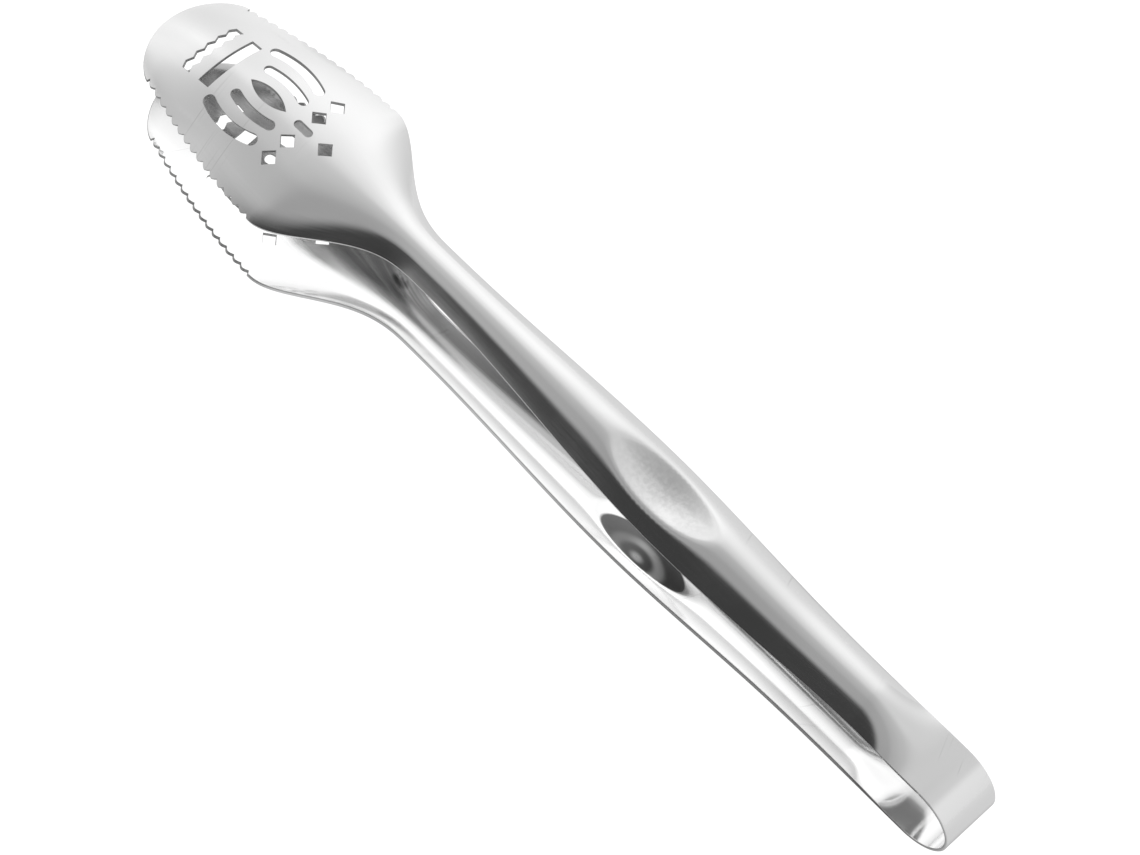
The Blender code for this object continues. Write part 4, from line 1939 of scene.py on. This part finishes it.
@dataclass
class Studio:
    """White table and the light of a soft white tent with a dark opening on its near side.

    A direction is told by how far it leans from straight up, in degrees: to the tips' side along X,
    and to the near side along Y.

    Args:
        floor_size: Length of the table's sides.
        floor_colour: Brightness of the table's surface.
        floor_rough: Roughness of it.
        floor_glow: Painted glow that the table gives off towards the steel, outside the shade
            painted under the tongs.
        shade_middle: Middle of that shade.
        shade: Half its length and half its width.
        shade_fades: Span in which it ends, as a share of these.
        backdrop: Brightness of the table and of the room behind it where the camera sees them.
        upright: Sine of the lean up to which a direction counts as straight up.
        to_near: Brightness of the tent at each lean to the near side.
        to_tips: What it is multiplied by at each lean to the tips' side.
        boxes: Bright panels.
        opening: Dark opening.
    """

    floor_size: float = 6.0
    floor_colour: float = 0.25
    floor_rough: float = 0.6
    floor_glow: float = 0.58
    shade_middle: tuple[float, float] = (-0.075, 0.0)
    shade: tuple[float, float] = (0.060, 0.055)
    shade_fades: Span = (0.95, 1.50)
    backdrop: float = 1.0
    upright: float = 0.001
    to_near: tuple[tuple[float, float], ...] = (
        (-90.0, 0.70),
        (-66.0, 0.74),
        (-36.0, 0.67),
        (-24.0, 0.69),
        (-12.0, 0.54),
        (0.0, 0.49),
        (12.0, 0.41),
        (24.0, 0.41),
        (36.0, 0.47),
        (90.0, 0.45),
    )
    to_tips: tuple[tuple[float, float], ...] = (
        (-90.0, 1.32),
        (-45.0, 1.36),
        (-24.0, 1.08),
        (8.0, 0.99),
        (20.0, 1.25),
        (32.0, 1.53),
        (48.0, 1.41),
        (66.0, 1.21),
        (90.0, 1.00),
    )
    boxes: tuple[SoftBox, ...] = (
        SoftBox(0.70, (-100.0, -54.5, -48.6, -14.4), (-44.6, 77.8, 14.7, 36.5)),
        SoftBox(0.51, (-58.0, 7.8, -14.2, 49.8), (35.6, 58.2, 150.0, 180.0)),
    )
    opening: SoftBox = SoftBox(0.89, (27.0, 41.0, 150.0, 180.0), (-50.0, -22.0, 20.0, 38.0))

    def build(self) -> None:
        """Make the table and the light."""
        self.table()
        self.tent()
        bpy.context.scene.view_settings.view_transform = "Standard"

    def table(self) -> None:
        """Large white table top, whose glow is painted dark in a shade under the tongs."""
        half = self.floor_size / 2.0
        corners = ((-half, -half, 0.0), (half, -half, 0.0), (half, half, 0.0), (-half, half, 0.0))
        mesh = mesh_from("table", np.array(corners), [(0, 1, 2, 3)])
        material = bpy.data.materials.new("white_table")
        material.use_nodes = True
        wiring = Wiring(material.node_tree)
        x, y, _ = wiring.apart(wiring.add("ShaderNodeTexCoord").outputs["Object"])
        x = wiring.over(wiring.less(x, self.shade_middle[0]), self.shade[0])
        y = wiring.over(wiring.less(y, self.shade_middle[1]), self.shade[1])
        # Painted glow of the table, with a painted shade under the tongs; the camera sees the even
        # backdrop.
        glow = wiring.eased(wiring.length(x, y), *self.shade_fades, 0.0, self.floor_glow)
        values = {
            "Base Color": grey(self.floor_colour),
            "Roughness": self.floor_rough,
            "Emission Color": grey(1.0),
            "Emission Strength": wiring.between(wiring.camera_ray(), glow, self.backdrop),
        }
        for name, value in values.items():
            wiring.plug(value, material.node_tree.nodes["Principled BSDF"].inputs[name])
        mesh.materials.append(material)
        add_object("table", mesh)

    def tent(self) -> None:
        """Light of the room, told by direction."""
        world = bpy.data.worlds.new("studio")
        world.use_nodes = True
        bpy.context.scene.world = world
        wiring = Wiring(world.node_tree)
        x, y, z = wiring.apart(wiring.add("ShaderNodeTexCoord").outputs["Generated"])
        lean = wiring.math("DEGREES", wiring.math("ARCCOSINE", z))
        scale = wiring.over(lean, wiring.math("MAXIMUM", wiring.length(x, y), self.upright))
        to_tips, to_near = wiring.times(x, scale), wiring.times(y, scale)
        near, tips = graded(wiring, to_near, self.to_near), graded(wiring, to_tips, self.to_tips)
        light = wiring.times(near, tips)
        for box in self.boxes:
            light = wiring.math("ADD", light, box.light(wiring, to_near, to_tips))
        dark = self.opening.light(wiring, to_near, to_tips)
        light = wiring.times(light, wiring.less(1.0, dark))
        light = wiring.between(wiring.camera_ray(), light, self.backdrop)
        inputs = world.node_tree.nodes["Background"].inputs
        wiring.plug(grey(1.0), inputs["Color"])
        wiring.plug(light, inputs["Strength"])


@dataclass(frozen=True)
class PhotoCamera:
    """Camera at the photograph's viewing angle, placed in the tongs' own frame.

    Args:
        azimuth_degrees: Direction from the tongs to the camera, turned from X to Y.
        elevation_degrees: Height of that direction over the plane of X and Y.
        roll_degrees: How far the camera is turned about the direction it looks in.
        place: Place of the camera.
        focal_pixels: Focal length in pixels of the picture.
        offset_pixels: Where the camera points, right of and below the picture's middle.
        picture: Width and height of the picture in pixels.
        sensor: Width of the sensor in millimetres.
        reach: Nearest and furthest distance that the camera sees.
    """

    azimuth_degrees: float = 128.8126
    elevation_degrees: float = 61.3169
    roll_degrees: float = 9.0
    place: tuple[float, float, float] = (-0.0872, 0.2998, 0.7032)
    focal_pixels: float = 3100.8
    offset_pixels: tuple[float, float] = (-31.66, -22.52)
    picture: tuple[int, int] = (1140, 855)
    sensor: float = 36.0
    reach: Span = (0.01, 20.0)

    def build(self, frame: TongsFrame) -> None:
        """Place the camera and look through it.

        Args:
            frame: Place of the tongs.
        """
        a, e = math.radians(self.azimuth_degrees), math.radians(self.elevation_degrees)
        back = Vector((math.cos(e) * math.cos(a), math.cos(e) * math.sin(a), math.sin(e)))
        right = Vector((0.0, 0.0, 1.0)).cross(back).normalized()
        up = back.cross(right)
        roll = Matrix.Rotation(math.radians(self.roll_degrees), 3, "Z")
        turn = Matrix((right, up, back)).transposed() @ roll
        width = self.picture[0]
        data = bpy.data.cameras.new("photo_camera")
        data.sensor_width = self.sensor
        data.lens = self.focal_pixels * self.sensor / width
        data.shift_x = -self.offset_pixels[0] / width
        data.shift_y = self.offset_pixels[1] / width
        data.clip_start, data.clip_end = self.reach
        camera = add_object("photo_camera", data)
        camera.matrix_world = frame.matrix() @ (Matrix.Translation(self.place) @ turn.to_4x4())
        bpy.context.scene.camera = camera


def main() -> None:
    """Build the tongs, the table, the light and the camera."""
    logging.basicConfig(level=logging.INFO, format="%(message)s")
    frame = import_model()
    form = StripForm()
    tongs = TongsFrame.from_joints(frame["joints"], form.leaf_start)
    steel = PressedSteel().material(form)
    holes = DrainHoles(form).outlines(steel)
    notches = ToothedSide(form).notched_line(steel)
    LOG.info("blank: %d holes, %d points along the teeth", len(holes), len(notches))
    arm = PressedArm(form, ArmBlank(form, holes, notches), tongs)
    bow = SweptBow(form, tongs)
    for side in Side:
        for piece in (arm.build(side, steel), bow.build(side, steel)):
            LOG.info("%s: %d faces", piece.name, len(piece.data.polygons))
    Studio().build()
    PhotoCamera().build(tongs)


if __name__ == "__main__":
    main()
